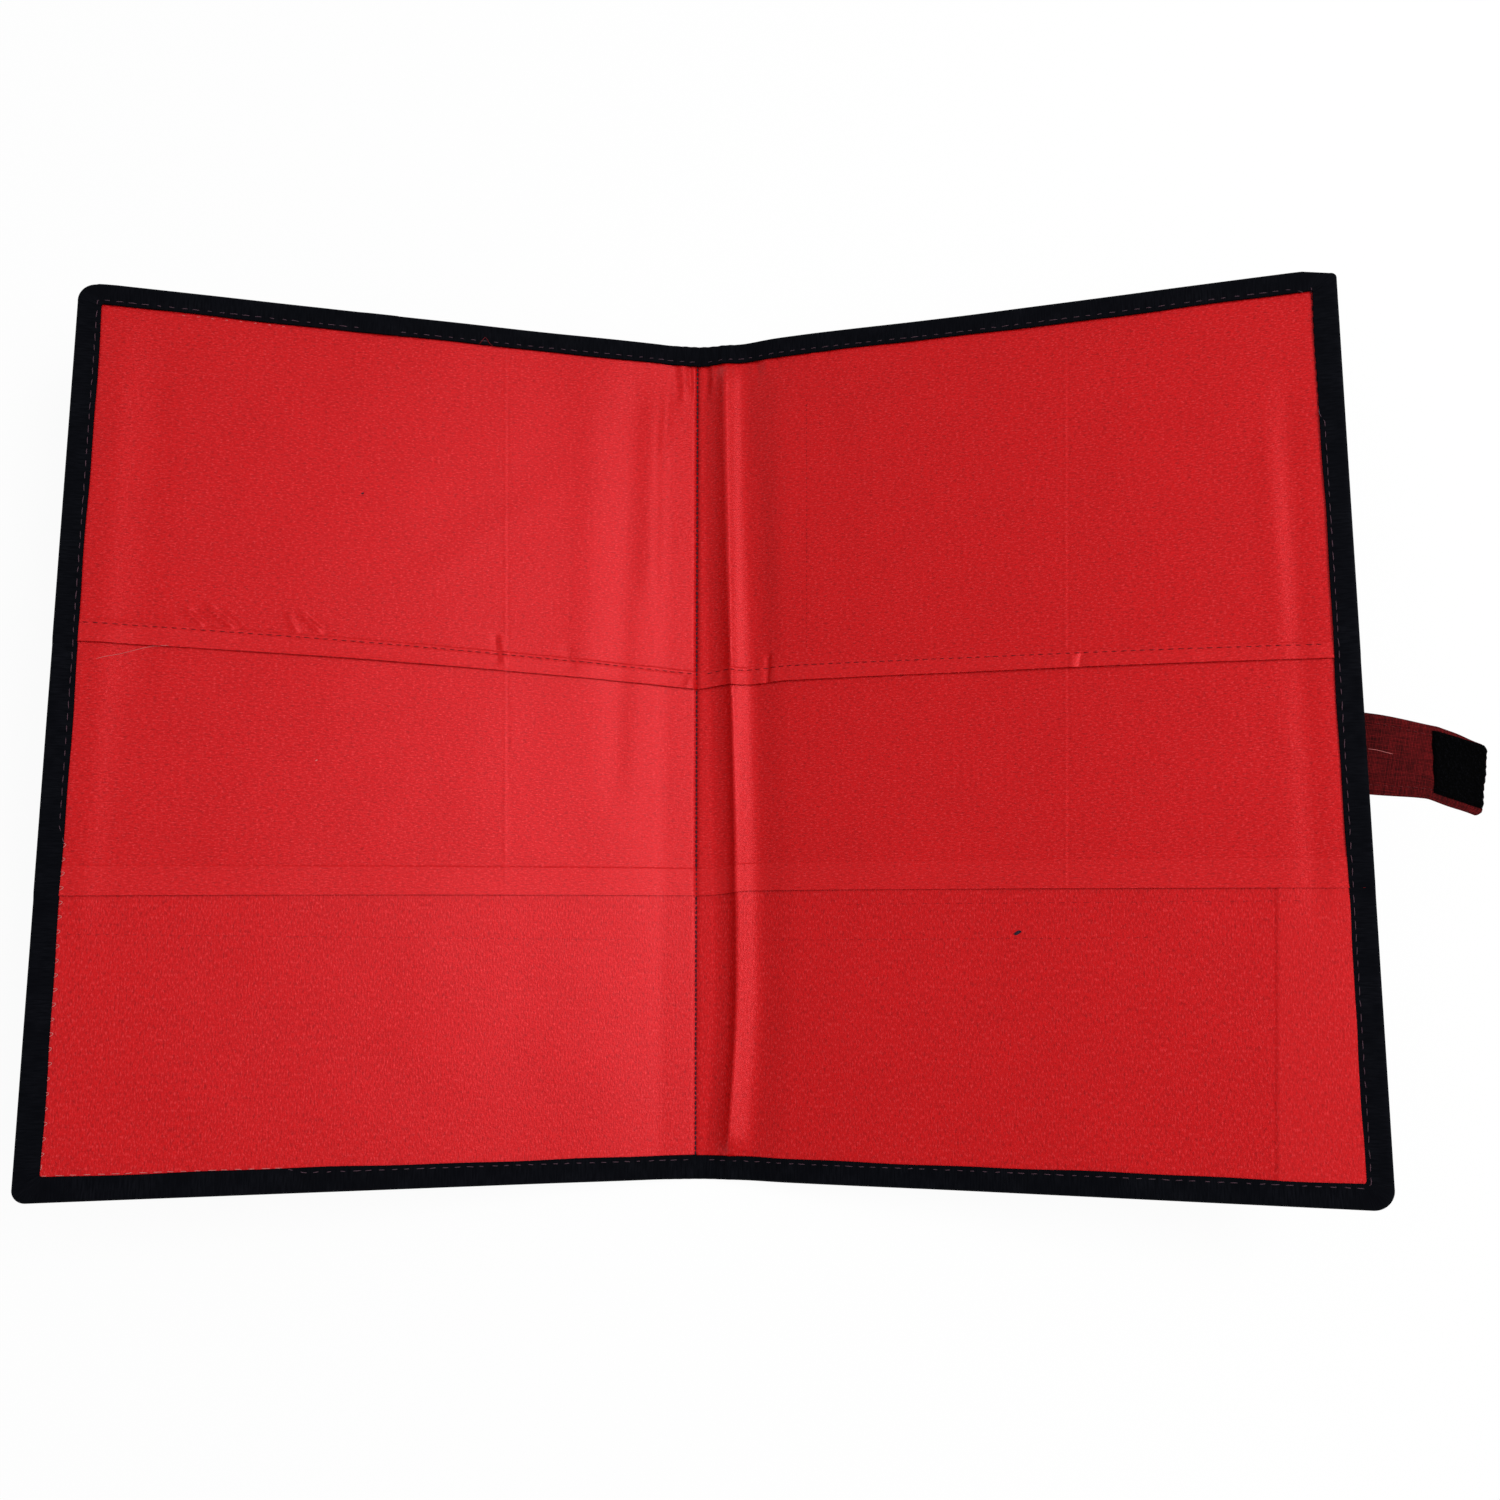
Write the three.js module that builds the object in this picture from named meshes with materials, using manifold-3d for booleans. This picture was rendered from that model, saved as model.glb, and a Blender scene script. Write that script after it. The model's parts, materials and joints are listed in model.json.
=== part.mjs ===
// Cloth file folder with two stiff covers, two tiers of pockets and a closing strap.
// Units are millimetres. X runs across the folder, Y along the spine, Z up.
// The origin is the middle of the spine's underside, where the folder rests on a table.
// Every piece is cut and sewn flat, with the folder opened out, and the covers are then raised.

import * as THREE from "three";
import { mergeVertices } from "three/addons/utils/BufferGeometryUtils.js";
import Module from "manifold-3d";

// Whole folder
const folderHeight = 350;
const leftCoverWidth = 235;
const rightCoverWidth = 241.5;
const spineWidth = 30;
const coverRise = THREE.MathUtils.degToRad(15.67);
const cornerRadius = 7.5;
const sharpCornerRadius = 2.5;

// Cloth, card and the air between plies
const clothThickness = 1.2;
const boardThickness = 1.6;
const liningThickness = 0.4;
const pocketThickness = 0.4;
const plyGap = 0.3;
const hingeGap = 0.3;

// Binding tape folded round every outer edge
const tapeThickness = 0.5;
const tapeWidth = 9.3;
const pressedClothThickness = 0.4;

// Pockets, measured down from the head edge, the short one sewn a little askew
const longPocketDepth = 238.5;
const longHemDepth = 10.5;
const shortPocketDepth = 151.5;
const shortPocketLeftLift = 7.5;
const shortPocketRightDrop = 2.5;
const shortHemDepth = 7;

// Loose cloth between the boards, which stands in a low fold on each side of the seam
const foldReach = 10;
const rightFoldHeight = 1.8;
const leftFoldHeight = 1.1;
const foldSteps = 12;

// Strap sewn behind the right cover and its touch fastener
const strapWidth = 30;
const strapTipWidth = 27;
const strapThickness = 1.5;
const strapFreeLength = 50;
const strapSewnLength = 58;
const strapRootY = -13;
const strapSkew = THREE.MathUtils.degToRad(10.5);
const strapDroop = THREE.MathUtils.degToRad(16);
const strapTipRadius = 4;
const strapSteps = 14;
const strapBendStart = 3;
const patchThickness = 1.2;
const hookPatchLength = 21;
const hookPatchWidth = 24;
const loopPatchLength = 50;
const loopPatchWidth = 30;
const loopPatchInset = 14;

// Curved edges
const arcSteps = 8;
const farAway = 1000;

// Places that follow from the sizes above
const halfHeight = folderHeight / 2;
const hingeX = spineWidth / 2;
const edgeRoom = tapeThickness + plyGap;

// Fore edge of a cover, measured from the middle of the spine
function foreEdge(side) {
  return hingeX + (side > 0 ? rightCoverWidth : leftCoverWidth);
}

// Layers in a cover, from the table up
const boardBottom = clothThickness + plyGap;
const coverLiningBottom = boardBottom + boardThickness + plyGap;
const coverLongBottom = coverLiningBottom + liningThickness + plyGap;
const coverShortBottom = coverLongBottom + pocketThickness + plyGap;

// Layers in the spine, which has no board
const spineLiningBottom = clothThickness + plyGap;
const spineLongBottom = spineLiningBottom + liningThickness + plyGap;
const spineShortBottom = spineLongBottom + pocketThickness + plyGap;
const spineStackTop = spineShortBottom + pocketThickness;
const hingeZ = spineStackTop + plyGap + tapeThickness;

// Height under the tape's upper leaf, beside each tier of cloth
const shortTierTop = coverShortBottom + 2 * pocketThickness + plyGap;
const longTierTop = coverLongBottom + 2 * pocketThickness + plyGap;
const liningTierTop = coverLiningBottom + liningThickness + plyGap;

const wasm = await Module();
wasm.setup();

// Finishes
function finish(color, roughness) {
  return new THREE.MeshStandardMaterial({ color, roughness, metalness: 0 });
}
const finishes = {
  cloth: () => finish(0x6e1a20, 0.9),
  card: () => finish(0x9a8a74, 0.95),
  lining: () => finish(0xc4202a, 0.5),
  tape: () => finish(0x0c0e13, 0.85),
  fastener: () => finish(0x101012, 0.95),
};

// Solids from three.js geometry and back
function solidFrom(geometry) {
  const bare = geometry.index ? geometry.toNonIndexed() : geometry;
  bare.deleteAttribute("normal");
  bare.deleteAttribute("uv");
  const merged = mergeVertices(bare, 1e-4);
  const mesh = new wasm.Mesh({
    numProp: 3,
    vertProperties: new Float32Array(merged.attributes.position.array),
    triVerts: new Uint32Array(merged.index.array),
  });
  return new wasm.Manifold(mesh);
}

function geometryFrom(solid) {
  const mesh = solid.getMesh();
  const geometry = new THREE.BufferGeometry();
  geometry.setAttribute("position", new THREE.BufferAttribute(mesh.vertProperties, 3));
  geometry.setIndex(new THREE.BufferAttribute(mesh.triVerts, 1));
  const faceted = geometry.toNonIndexed();
  faceted.computeVertexNormals();
  return faceted;
}

// An outline given by its points, pulled out to a length
function pulled(points, length) {
  return new THREE.ExtrudeGeometry(new THREE.Shape(points), { depth: length, bevelEnabled: false });
}

// A plate with its plan in XY, between two heights
function plate(plan, bottom, top) {
  return solidFrom(pulled(plan, top - bottom).translate(0, 0, bottom));
}

// A strip with its section in XZ, between two places along the spine
function stripAlong(section, fromY, toY) {
  const turn = new THREE.Matrix4().makeBasis(
    new THREE.Vector3(1, 0, 0),
    new THREE.Vector3(0, 0, 1),
    new THREE.Vector3(0, -1, 0),
  );
  return solidFrom(pulled(section, toY - fromY).applyMatrix4(turn).translate(0, toY, 0));
}

// A block with its section in YZ, between two places across the folder
function blockAcross(section, fromX, toX) {
  const turn = new THREE.Matrix4().makeBasis(
    new THREE.Vector3(0, 1, 0),
    new THREE.Vector3(0, 0, 1),
    new THREE.Vector3(1, 0, 0),
  );
  return solidFrom(pulled(section, toX - fromX).applyMatrix4(turn).translate(fromX, 0, 0));
}

// A plain box plan between two corners
function boxPlan(fromX, toX, fromY, toY) {
  return [
    new THREE.Vector2(fromX, fromY),
    new THREE.Vector2(toX, fromY),
    new THREE.Vector2(toX, toY),
    new THREE.Vector2(fromX, toY),
  ];
}

// A quarter round that turns one corner of an outline
function roundCorner(outline, x, y, radius, fromAngle) {
  if (radius > 0) outline.absarc(x, y, radius, fromAngle, fromAngle + Math.PI / 2);
  else outline.lineTo(x, y);
}

// Plan of one cover, drawn in from its outer edges, with rounded corners at the fore edge
function coverPlan(side, inset, innerX = hingeX + hingeGap / 2) {
  const headCorner = side > 0 ? sharpCornerRadius : cornerRadius;
  const headRadius = Math.max(headCorner - inset, 0);
  const footRadius = Math.max(cornerRadius - inset, 0);
  const fore = foreEdge(side) - inset;
  const head = halfHeight - inset;
  const outline = new THREE.Path();
  outline.moveTo(innerX, -head);
  outline.lineTo(fore - footRadius, -head);
  roundCorner(outline, fore - footRadius, footRadius - head, footRadius, -Math.PI / 2);
  outline.lineTo(fore, head - headRadius);
  roundCorner(outline, fore - headRadius, head - headRadius, headRadius, 0);
  outline.lineTo(innerX, head);
  return outline.getPoints(arcSteps).map((point) => new THREE.Vector2(side * point.x, point.y));
}

// Mouth of the short pocket at a place across the folder
function shortMouthAt(x) {
  const lift = x < 0 ? shortPocketLeftLift : -shortPocketRightDrop;
  return halfHeight - shortPocketDepth + (lift * Math.abs(x)) / foreEdge(Math.sign(x));
}

// Mouth of the long pocket, which is straight
function longMouthAt() {
  return halfHeight - longPocketDepth;
}

// Everything on the head side of a mouth, from it to a place above it
function mouthPlan(mouthAt, fromX, toX, above) {
  return [
    new THREE.Vector2(fromX, mouthAt(fromX)),
    new THREE.Vector2(toX, mouthAt(toX)),
    new THREE.Vector2(toX, mouthAt(toX) + above),
    new THREE.Vector2(fromX, mouthAt(fromX) + above),
  ];
}

// A pocket cut from flat cloth, with its mouth turned in to a hem of two plies
function hemmedCloth(single, double, mouthAt, fromX, toX, hemDepth) {
  const cloth = plate(mouthPlan(mouthAt, fromX, toX, farAway), -farAway, farAway);
  const hem = plate(mouthPlan(mouthAt, fromX, toX, hemDepth), -farAway, farAway);
  return single.intersect(cloth).add(double.intersect(hem));
}

// Cover pieces

// Outer cloth, pressed thin where the tape is sewn over it so that the outside stays flush
function coverCloth(side) {
  const body = plate(coverPlan(side, tapeWidth + plyGap), 0, clothThickness);
  const rim = plate(coverPlan(side, edgeRoom), clothThickness - pressedClothThickness, clothThickness);
  return body.add(rim);
}

function coverBoard(side) {
  return plate(coverPlan(side, edgeRoom), boardBottom, boardBottom + boardThickness);
}

function coverLining(side) {
  return plate(coverPlan(side, edgeRoom), coverLiningBottom, coverLiningBottom + liningThickness);
}

function coverPocket(side, bottom, mouthAt, hemDepth) {
  const plan = coverPlan(side, edgeRoom);
  const single = plate(plan, bottom, bottom + pocketThickness);
  const double = plate(plan, bottom, bottom + 2 * pocketThickness);
  const hinge = side * hingeX;
  const beyond = side * (foreEdge(side) + tapeWidth);
  return hemmedCloth(single, double, mouthAt, hinge, beyond, hemDepth);
}

// Side view of the tape's upper leaf, which steps down past each pocket mouth
function tierSection(side, bottom, lift) {
  const shortStep = shortMouthAt(side * foreEdge(side)) - plyGap - lift;
  const longStep = longMouthAt() - plyGap - lift;
  return [
    new THREE.Vector2(-halfHeight - plyGap, bottom),
    new THREE.Vector2(halfHeight + plyGap, bottom),
    new THREE.Vector2(halfHeight + plyGap, shortTierTop + lift),
    new THREE.Vector2(shortStep, shortTierTop + lift),
    new THREE.Vector2(shortStep, longTierTop + lift),
    new THREE.Vector2(longStep, longTierTop + lift),
    new THREE.Vector2(longStep, liningTierTop + lift),
    new THREE.Vector2(-halfHeight - plyGap, liningTierTop + lift),
  ];
}

// Tape folded round three edges of a cover, open where the plies go in
function coverBinding(side) {
  const beyond = foreEdge(side) + tapeWidth;
  const nearX = side > 0 ? hingeX : -beyond;
  const farX = side > 0 ? beyond : -hingeX;
  const outside = plate(coverPlan(side, 0), 0, farAway);
  const outerTiers = blockAcross(tierSection(side, 0, tapeThickness), nearX, farX);
  const plies = plate(coverPlan(side, tapeThickness, 0), tapeThickness, farAway);
  const innerTiers = blockAcross(tierSection(side, tapeThickness, 0), nearX - 1, farX + 1);
  const window = plate(coverPlan(side, tapeWidth, 0), -1, farAway);
  return outside.intersect(outerTiers).subtract(plies.intersect(innerTiers)).subtract(window);
}

// Spine pieces

// Height of the loose cloth above its lowest lie, at a place across the spine
function foldRise(x) {
  const height = x < 0 ? leftFoldHeight : rightFoldHeight;
  const along = Math.min(Math.abs(x) / foldReach, 1);
  return height * Math.sin(Math.PI * along) ** 2;
}

// Section of a cloth that follows the folds beside the seam
function foldedSection(bottom, top, follows = foldRise) {
  const edge = hingeX - hingeGap / 2;
  const places = [-edge];
  for (let step = -foldSteps; step <= foldSteps; step += 1) places.push((foldReach * step) / foldSteps);
  places.push(edge);
  const upper = places.map((x) => new THREE.Vector2(x, top + foldRise(x)));
  const lower = places.map((x) => new THREE.Vector2(x, bottom + follows(x)));
  return [...lower, ...upper.reverse()];
}

function spineCloth() {
  const edge = hingeX - hingeGap / 2;
  const bodyEnd = halfHeight - tapeWidth - plyGap;
  const rimEnd = halfHeight - edgeRoom;
  const body = plate(boxPlan(-edge, edge, -bodyEnd, bodyEnd), 0, clothThickness);
  const rimPlan = boxPlan(-edge, edge, -rimEnd, rimEnd);
  return body.add(plate(rimPlan, clothThickness - pressedClothThickness, clothThickness));
}

function spineLining() {
  const end = halfHeight - edgeRoom;
  const section = foldedSection(spineLiningBottom, spineLiningBottom + liningThickness);
  return stripAlong(section, -end, end);
}

function spinePocket(bottom, mouthAt, hemDepth) {
  const end = halfHeight - edgeRoom;
  const single = stripAlong(foldedSection(bottom, bottom + pocketThickness), -end, end);
  const double = stripAlong(foldedSection(bottom, bottom + 2 * pocketThickness), -end, end);
  const left = hemmedCloth(single, double, mouthAt, -hingeX, 0, hemDepth);
  return left.add(hemmedCloth(single, double, mouthAt, 0, hingeX, hemDepth));
}

// Tape folded over one end of the spine, gathered over the folds of the cloth inside it
function spineBinding(end, innerTop) {
  const flat = () => 0;
  const outer = foldedSection(0, innerTop + tapeThickness, flat);
  const inner = foldedSection(tapeThickness, innerTop, flat);
  const mouth = halfHeight - tapeWidth;
  const fold = halfHeight - tapeThickness;
  if (end > 0) return stripAlong(outer, mouth, halfHeight).subtract(stripAlong(inner, mouth - 1, fold));
  return stripAlong(outer, -halfHeight, -mouth).subtract(stripAlong(inner, -fold, 1 - mouth));
}

// Strap pieces

// Strap seen from its edge: flat behind the cover, then bending down past the fore edge
function strapPoint(along, height) {
  const bend = strapFreeLength - strapBendStart;
  const turned = Math.max(along - strapBendStart, 0) / bend;
  const angle = strapDroop * turned;
  const radius = bend / strapDroop;
  const x = Math.min(along, strapBendStart) + (radius + height) * Math.sin(angle);
  return new THREE.Vector2(x, (radius + height) * Math.cos(angle) - radius);
}

function strapSection(from, to, bottom, top) {
  const places = [];
  for (let step = 0; step <= strapSteps; step += 1) places.push(from + ((to - from) * step) / strapSteps);
  if (from < strapBendStart && to > strapBendStart) places.push(strapBendStart);
  places.sort((first, second) => first - second);
  const lower = places.map((along) => strapPoint(along, bottom));
  const upper = places.map((along) => strapPoint(along, top));
  return [...lower, ...upper.reverse()];
}

// Plan of a strap that narrows to a tip with rounded corners
function strapPlan(width, tipWidth, from, to, radius) {
  const half = width / 2;
  const tip = tipWidth / 2;
  const outline = new THREE.Path();
  outline.moveTo(from, -half);
  outline.lineTo(to - radius, -tip);
  roundCorner(outline, to - radius, radius - tip, radius, -Math.PI / 2);
  outline.lineTo(to, tip - radius);
  roundCorner(outline, to - radius, tip - radius, radius, 0);
  outline.lineTo(from, half);
  return outline.getPoints(arcSteps);
}

// Sews a strap piece behind the fore edge, turned by the strap's skew
function sewnOn(solid) {
  const geometry = geometryFrom(solid);
  geometry.rotateZ(-strapSkew);
  geometry.translate(foreEdge(1), strapRootY, 0);
  return solidFrom(geometry);
}

function strap() {
  const top = -plyGap;
  const bottom = top - strapThickness;
  const section = strapSection(-strapSewnLength, strapFreeLength, bottom, top);
  const tipX = strapPoint(strapFreeLength, top).x;
  const plan = strapPlan(strapWidth, strapTipWidth, -strapSewnLength, tipX, strapTipRadius);
  const band = stripAlong(section, -strapWidth, strapWidth);
  return sewnOn(band.intersect(plate(plan, -farAway, farAway)));
}

function hookPatch() {
  const from = strapFreeLength - hookPatchLength;
  const section = strapSection(from, strapFreeLength, 0, patchThickness);
  const startX = strapPoint(from, 0).x - patchThickness;
  const tipX = strapPoint(strapFreeLength, patchThickness).x;
  const plan = strapPlan(hookPatchWidth, hookPatchWidth, startX, tipX, strapTipRadius / 2);
  const band = stripAlong(section, -hookPatchWidth, hookPatchWidth);
  return sewnOn(band.intersect(plate(plan, -farAway, farAway)));
}

// Loop half of the fastener, where the strap's tip lands outside the left cover
function loopPatch() {
  const outer = foreEdge(-1) - loopPatchInset;
  const tipDrop = Math.tan(strapSkew) * (strapFreeLength - hookPatchLength / 2);
  const middle = strapRootY - tipDrop;
  const half = loopPatchWidth / 2;
  const plan = boxPlan(-outer, loopPatchLength - outer, middle - half, middle + half);
  return plate(plan, -plyGap - patchThickness, -plyGap);
}

// Assembly

function piece(name, solid, material) {
  const mesh = new THREE.Mesh(geometryFrom(solid), material);
  mesh.name = name;
  return mesh;
}

// A cover's pieces hang on its hinge line, and the group is turned up from the table
function coverGroup(side, extras) {
  const word = side > 0 ? "right" : "left";
  const group = new THREE.Group();
  group.position.set(side * hingeX, 0, hingeZ);
  group.rotation.y = -side * coverRise;
  const pieces = [
    piece(`${word}_cover_cloth`, coverCloth(side), finishes.cloth()),
    piece(`${word}_cover_board`, coverBoard(side), finishes.card()),
    piece(`${word}_lining`, coverLining(side), finishes.lining()),
    piece(
      `${word}_long_pocket`,
      coverPocket(side, coverLongBottom, longMouthAt, longHemDepth),
      finishes.lining(),
    ),
    piece(
      `${word}_short_pocket`,
      coverPocket(side, coverShortBottom, shortMouthAt, shortHemDepth),
      finishes.lining(),
    ),
    piece(`${word}_binding`, coverBinding(side), finishes.tape()),
    ...extras,
  ];
  for (const mesh of pieces) {
    mesh.position.set(-side * hingeX, 0, -hingeZ);
    group.add(mesh);
  }
  return group;
}

const folder = new THREE.Group();
folder.add(
  piece("spine_cloth", spineCloth(), finishes.cloth()),
  piece("spine_lining", spineLining(), finishes.lining()),
  piece("spine_long_pocket", spinePocket(spineLongBottom, longMouthAt, longHemDepth), finishes.lining()),
  piece("spine_short_pocket", spinePocket(spineShortBottom, shortMouthAt, shortHemDepth), finishes.lining()),
  piece("spine_head_binding", spineBinding(1, spineStackTop + plyGap), finishes.tape()),
  piece("spine_foot_binding", spineBinding(-1, spineLongBottom), finishes.tape()),
);
folder.add(coverGroup(-1, [piece("loop_patch", loopPatch(), finishes.fastener())]));
folder.add(
  coverGroup(1, [
    piece("strap", strap(), finishes.cloth()),
    piece("hook_patch", hookPatch(), finishes.fastener()),
  ]),
);

export default folder;
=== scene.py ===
import json
import math

import bmesh
import bpy
import numpy as np
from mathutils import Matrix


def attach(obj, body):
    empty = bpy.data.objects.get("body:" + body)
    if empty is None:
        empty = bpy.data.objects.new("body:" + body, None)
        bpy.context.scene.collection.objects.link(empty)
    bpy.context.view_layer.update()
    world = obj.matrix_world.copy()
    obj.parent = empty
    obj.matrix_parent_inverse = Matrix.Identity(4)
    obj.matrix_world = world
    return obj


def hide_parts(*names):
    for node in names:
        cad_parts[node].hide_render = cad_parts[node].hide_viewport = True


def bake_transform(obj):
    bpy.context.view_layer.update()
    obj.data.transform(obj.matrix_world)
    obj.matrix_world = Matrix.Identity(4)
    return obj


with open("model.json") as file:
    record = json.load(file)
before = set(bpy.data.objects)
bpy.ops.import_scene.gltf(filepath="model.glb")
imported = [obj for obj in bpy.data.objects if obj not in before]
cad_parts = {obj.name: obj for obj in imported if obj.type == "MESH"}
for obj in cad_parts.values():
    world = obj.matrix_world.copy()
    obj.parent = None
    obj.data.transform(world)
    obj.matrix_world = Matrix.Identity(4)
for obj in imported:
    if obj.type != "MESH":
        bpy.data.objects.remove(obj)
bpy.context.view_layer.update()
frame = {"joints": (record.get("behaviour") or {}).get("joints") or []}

# Outer cloth
# One sheet of dark red jute cloth makes the outside of both covers and the spine. It is a fine
# plain weave, pasted to the boards, pressed thin under the tape and sewn through at the spine.
mm = 0.001
scene = bpy.context.scene
folder_half_height = 175 * mm
hinge_x = abs(frame["joints"][0]["pos_m"][0])
hinge_z = frame["joints"][0]["pos_m"][2]
cover_rise = math.radians(15.67)
bend_reach = 8 * mm
fore_edge = {-1: hinge_x + 235 * mm, 1: hinge_x + 241.5 * mm}
side_name = {-1: "left", 1: "right"}
sheet_inset = 3.5 * mm
cloth_end = folder_half_height - sheet_inset


def smooth(share):
    """Runs from 0 to 1 as share does, level at both ends."""
    held = np.clip(share, 0, 1)
    return held * held * (3 - 2 * held)


def raised(x, y, height):
    """Where a point of the flat, opened-out folder goes when both covers are raised."""
    beyond = np.abs(x) - hinge_x
    share = np.clip(beyond / bend_reach + 0.5, 0, 1)
    turn = cover_rise * smooth(share)
    climb = bend_reach * (share ** 3 - share ** 4 / 2) + np.maximum(beyond - bend_reach / 2, 0)
    up = height - hinge_z
    across = hinge_x + beyond * np.cos(turn) - up * np.sin(turn)
    above = hinge_z + climb * math.sin(cover_rise) + up * np.cos(turn)
    return np.stack([np.sign(x) * across, y + 0 * x, above], axis=-1)


def seam_x(y):
    """Where the centre seam runs, a little left of the middle at the head."""
    return -1.1 * mm - 0.65 * mm * y / folder_half_height


def bend_with_cover(made):
    """Bakes a piece's placement into its mesh; it is not tied to a cover or the spine."""
    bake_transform(made)


def finish_mesh(mesh, flat, sharp=50):
    """Turns the faces out, lays the flat cut in the UV map and rounds the shading."""
    work = bmesh.new()
    work.from_mesh(mesh)
    bmesh.ops.recalc_face_normals(work, faces=work.faces)
    work.to_mesh(mesh)
    work.free()
    layer = mesh.uv_layers.new(name="cut")
    corner_point = np.zeros(len(mesh.loops), np.int32)
    mesh.loops.foreach_get("vertex_index", corner_point)
    layer.data.foreach_set("uv", flat[corner_point].astype(np.float32).ravel())
    mesh.polygons.foreach_set("use_smooth", [True] * len(mesh.polygons))
    mesh.set_sharp_from_angle(angle=math.radians(sharp))
    mesh.update()


def thick_mesh(name, top, bottom, cut, material):
    """A closed cloth between two grids of points, with the flat cut as its UV map."""
    rows, columns = top.shape[:2]
    points = np.concatenate([top.reshape(-1, 3), bottom.reshape(-1, 3)])
    under = rows * columns
    faces = []
    for r in range(rows - 1):
        for c in range(columns - 1):
            a = r * columns + c
            b, d, e = a + 1, a + columns, a + columns + 1
            faces.append((a, b, e, d))
            faces.append((under + d, under + e, under + b, under + a))
    ring = [c for c in range(columns)]
    ring += [r * columns + columns - 1 for r in range(1, rows)]
    ring += [(rows - 1) * columns + c for c in range(columns - 2, -1, -1)]
    ring += [r * columns for r in range(rows - 2, 0, -1)]
    for here, after in zip(ring, ring[1:] + ring[:1]):
        faces.append((after, here, under + here, under + after))
    mesh = bpy.data.meshes.new(name)
    mesh.from_pydata(points.tolist(), [], faces)
    finish_mesh(mesh, np.concatenate([cut.reshape(-1, 2), cut.reshape(-1, 2)]))
    mesh.materials.append(material)
    made = bpy.data.objects.new(name, mesh)
    scene.collection.objects.link(made)
    return made


def cut_of(x, y, shift=(0.3, 0.2)):
    """The place of a point on the flat cloth, shifted so that it is never below zero."""
    return np.stack([x + shift[0], y + 0 * x + shift[1]], axis=-1)


def from_edge(x, y):
    """How far inside the nearest outer edge a place of the opened-out folder lies."""
    fore = np.where(x < 0, fore_edge[-1], fore_edge[1])
    return np.minimum(fore - np.abs(x), folder_half_height - np.abs(y))


def tell(tree, kind, **settings):
    """A new node with some of its settings."""
    node = tree.nodes.new(kind)
    for name, value in settings.items():
        setattr(node, name, value)
    return node


def calc(tree, operation, first, second=None):
    """One sum of two sockets or numbers."""
    node = tell(tree, "ShaderNodeMath", operation=operation)
    for place, value in enumerate((first, second)):
        if value is None:
            continue
        if isinstance(value, (int, float)):
            node.inputs[place].default_value = value
        else:
            tree.links.new(value, node.inputs[place])
    return node.outputs[0]


def noise_at(tree, vector, scale, stretch=(1, 1, 1), detail=2.0):
    """Soft noise laid on the flat cloth, drawn out along one thread by stretch."""
    mapping = tell(tree, "ShaderNodeMapping")
    mapping.inputs["Scale"].default_value = stretch
    tree.links.new(vector, mapping.inputs["Vector"])
    noise = tell(tree, "ShaderNodeTexNoise")
    noise.inputs["Scale"].default_value = scale
    noise.inputs["Detail"].default_value = detail
    tree.links.new(mapping.outputs[0], noise.inputs["Vector"])
    return noise.outputs["Fac"]


def shade_between(tree, share, dark, light):
    """A colour between two, by a socket from 0 to 1, or from one socket's colour to another."""
    ramp = tell(tree, "ShaderNodeMix", data_type="RGBA")
    tree.links.new(share, ramp.inputs["Factor"])
    for socket, colour in (("A", dark), ("B", light)):
        if isinstance(colour, tuple):
            ramp.inputs[socket].default_value = (*colour, 1)
        else:
            tree.links.new(colour, ramp.inputs[socket])
    return ramp.outputs["Result"]


def spread(tree, share, low, high):
    """Widens a narrow band of a socket to the whole of 0 to 1."""
    node = tell(tree, "ShaderNodeMapRange")
    node.inputs["From Min"].default_value = low
    node.inputs["From Max"].default_value = high
    tree.links.new(share, node.inputs["Value"])
    return node.outputs["Result"]


def new_cloth(name, roughness, specular):
    """A cloth material with its tree, shader and the flat cut's coordinates."""
    material = bpy.data.materials.new(name)
    material.use_nodes = True
    tree = material.node_tree
    shader = tree.nodes["Principled BSDF"]
    shader.inputs["Roughness"].default_value = roughness
    shader.inputs["Specular IOR Level"].default_value = specular
    place = tell(tree, "ShaderNodeUVMap", uv_map="cut").outputs["UV"]
    return material, tree, shader, place


def add_bump(tree, shader, height, distance):
    """Lets the threads stand up by a small distance."""
    bump = tell(tree, "ShaderNodeBump")
    bump.inputs["Strength"].default_value = 1.0
    bump.inputs["Distance"].default_value = distance
    tree.links.new(height, bump.inputs["Height"])
    tree.links.new(bump.outputs[0], shader.inputs["Normal"])


def plain_weave(tree, place, pitch):
    """Height of a plain weave: warp and weft threads take turns on top."""
    parts = tell(tree, "ShaderNodeSeparateXYZ")
    tree.links.new(place, parts.inputs[0])
    u = calc(tree, "MULTIPLY", parts.outputs[0], math.pi / pitch)
    v = calc(tree, "MULTIPLY", parts.outputs[1], math.pi / pitch)
    warp = calc(tree, "ABSOLUTE", calc(tree, "SINE", u))
    weft = calc(tree, "ABSOLUTE", calc(tree, "SINE", v))
    turn = calc(tree, "MULTIPLY", calc(tree, "COSINE", u), calc(tree, "COSINE", v))
    pick = tell(tree, "ShaderNodeMix", data_type="FLOAT")
    tree.links.new(calc(tree, "GREATER_THAN", turn, 0.0), pick.inputs["Factor"])
    tree.links.new(calc(tree, "MULTIPLY", warp, calc(tree, "ADD", weft, 0.5)), pick.inputs["A"])
    tree.links.new(calc(tree, "MULTIPLY", weft, calc(tree, "ADD", warp, 0.5)), pick.inputs["B"])
    return pick.outputs["Result"]


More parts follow.
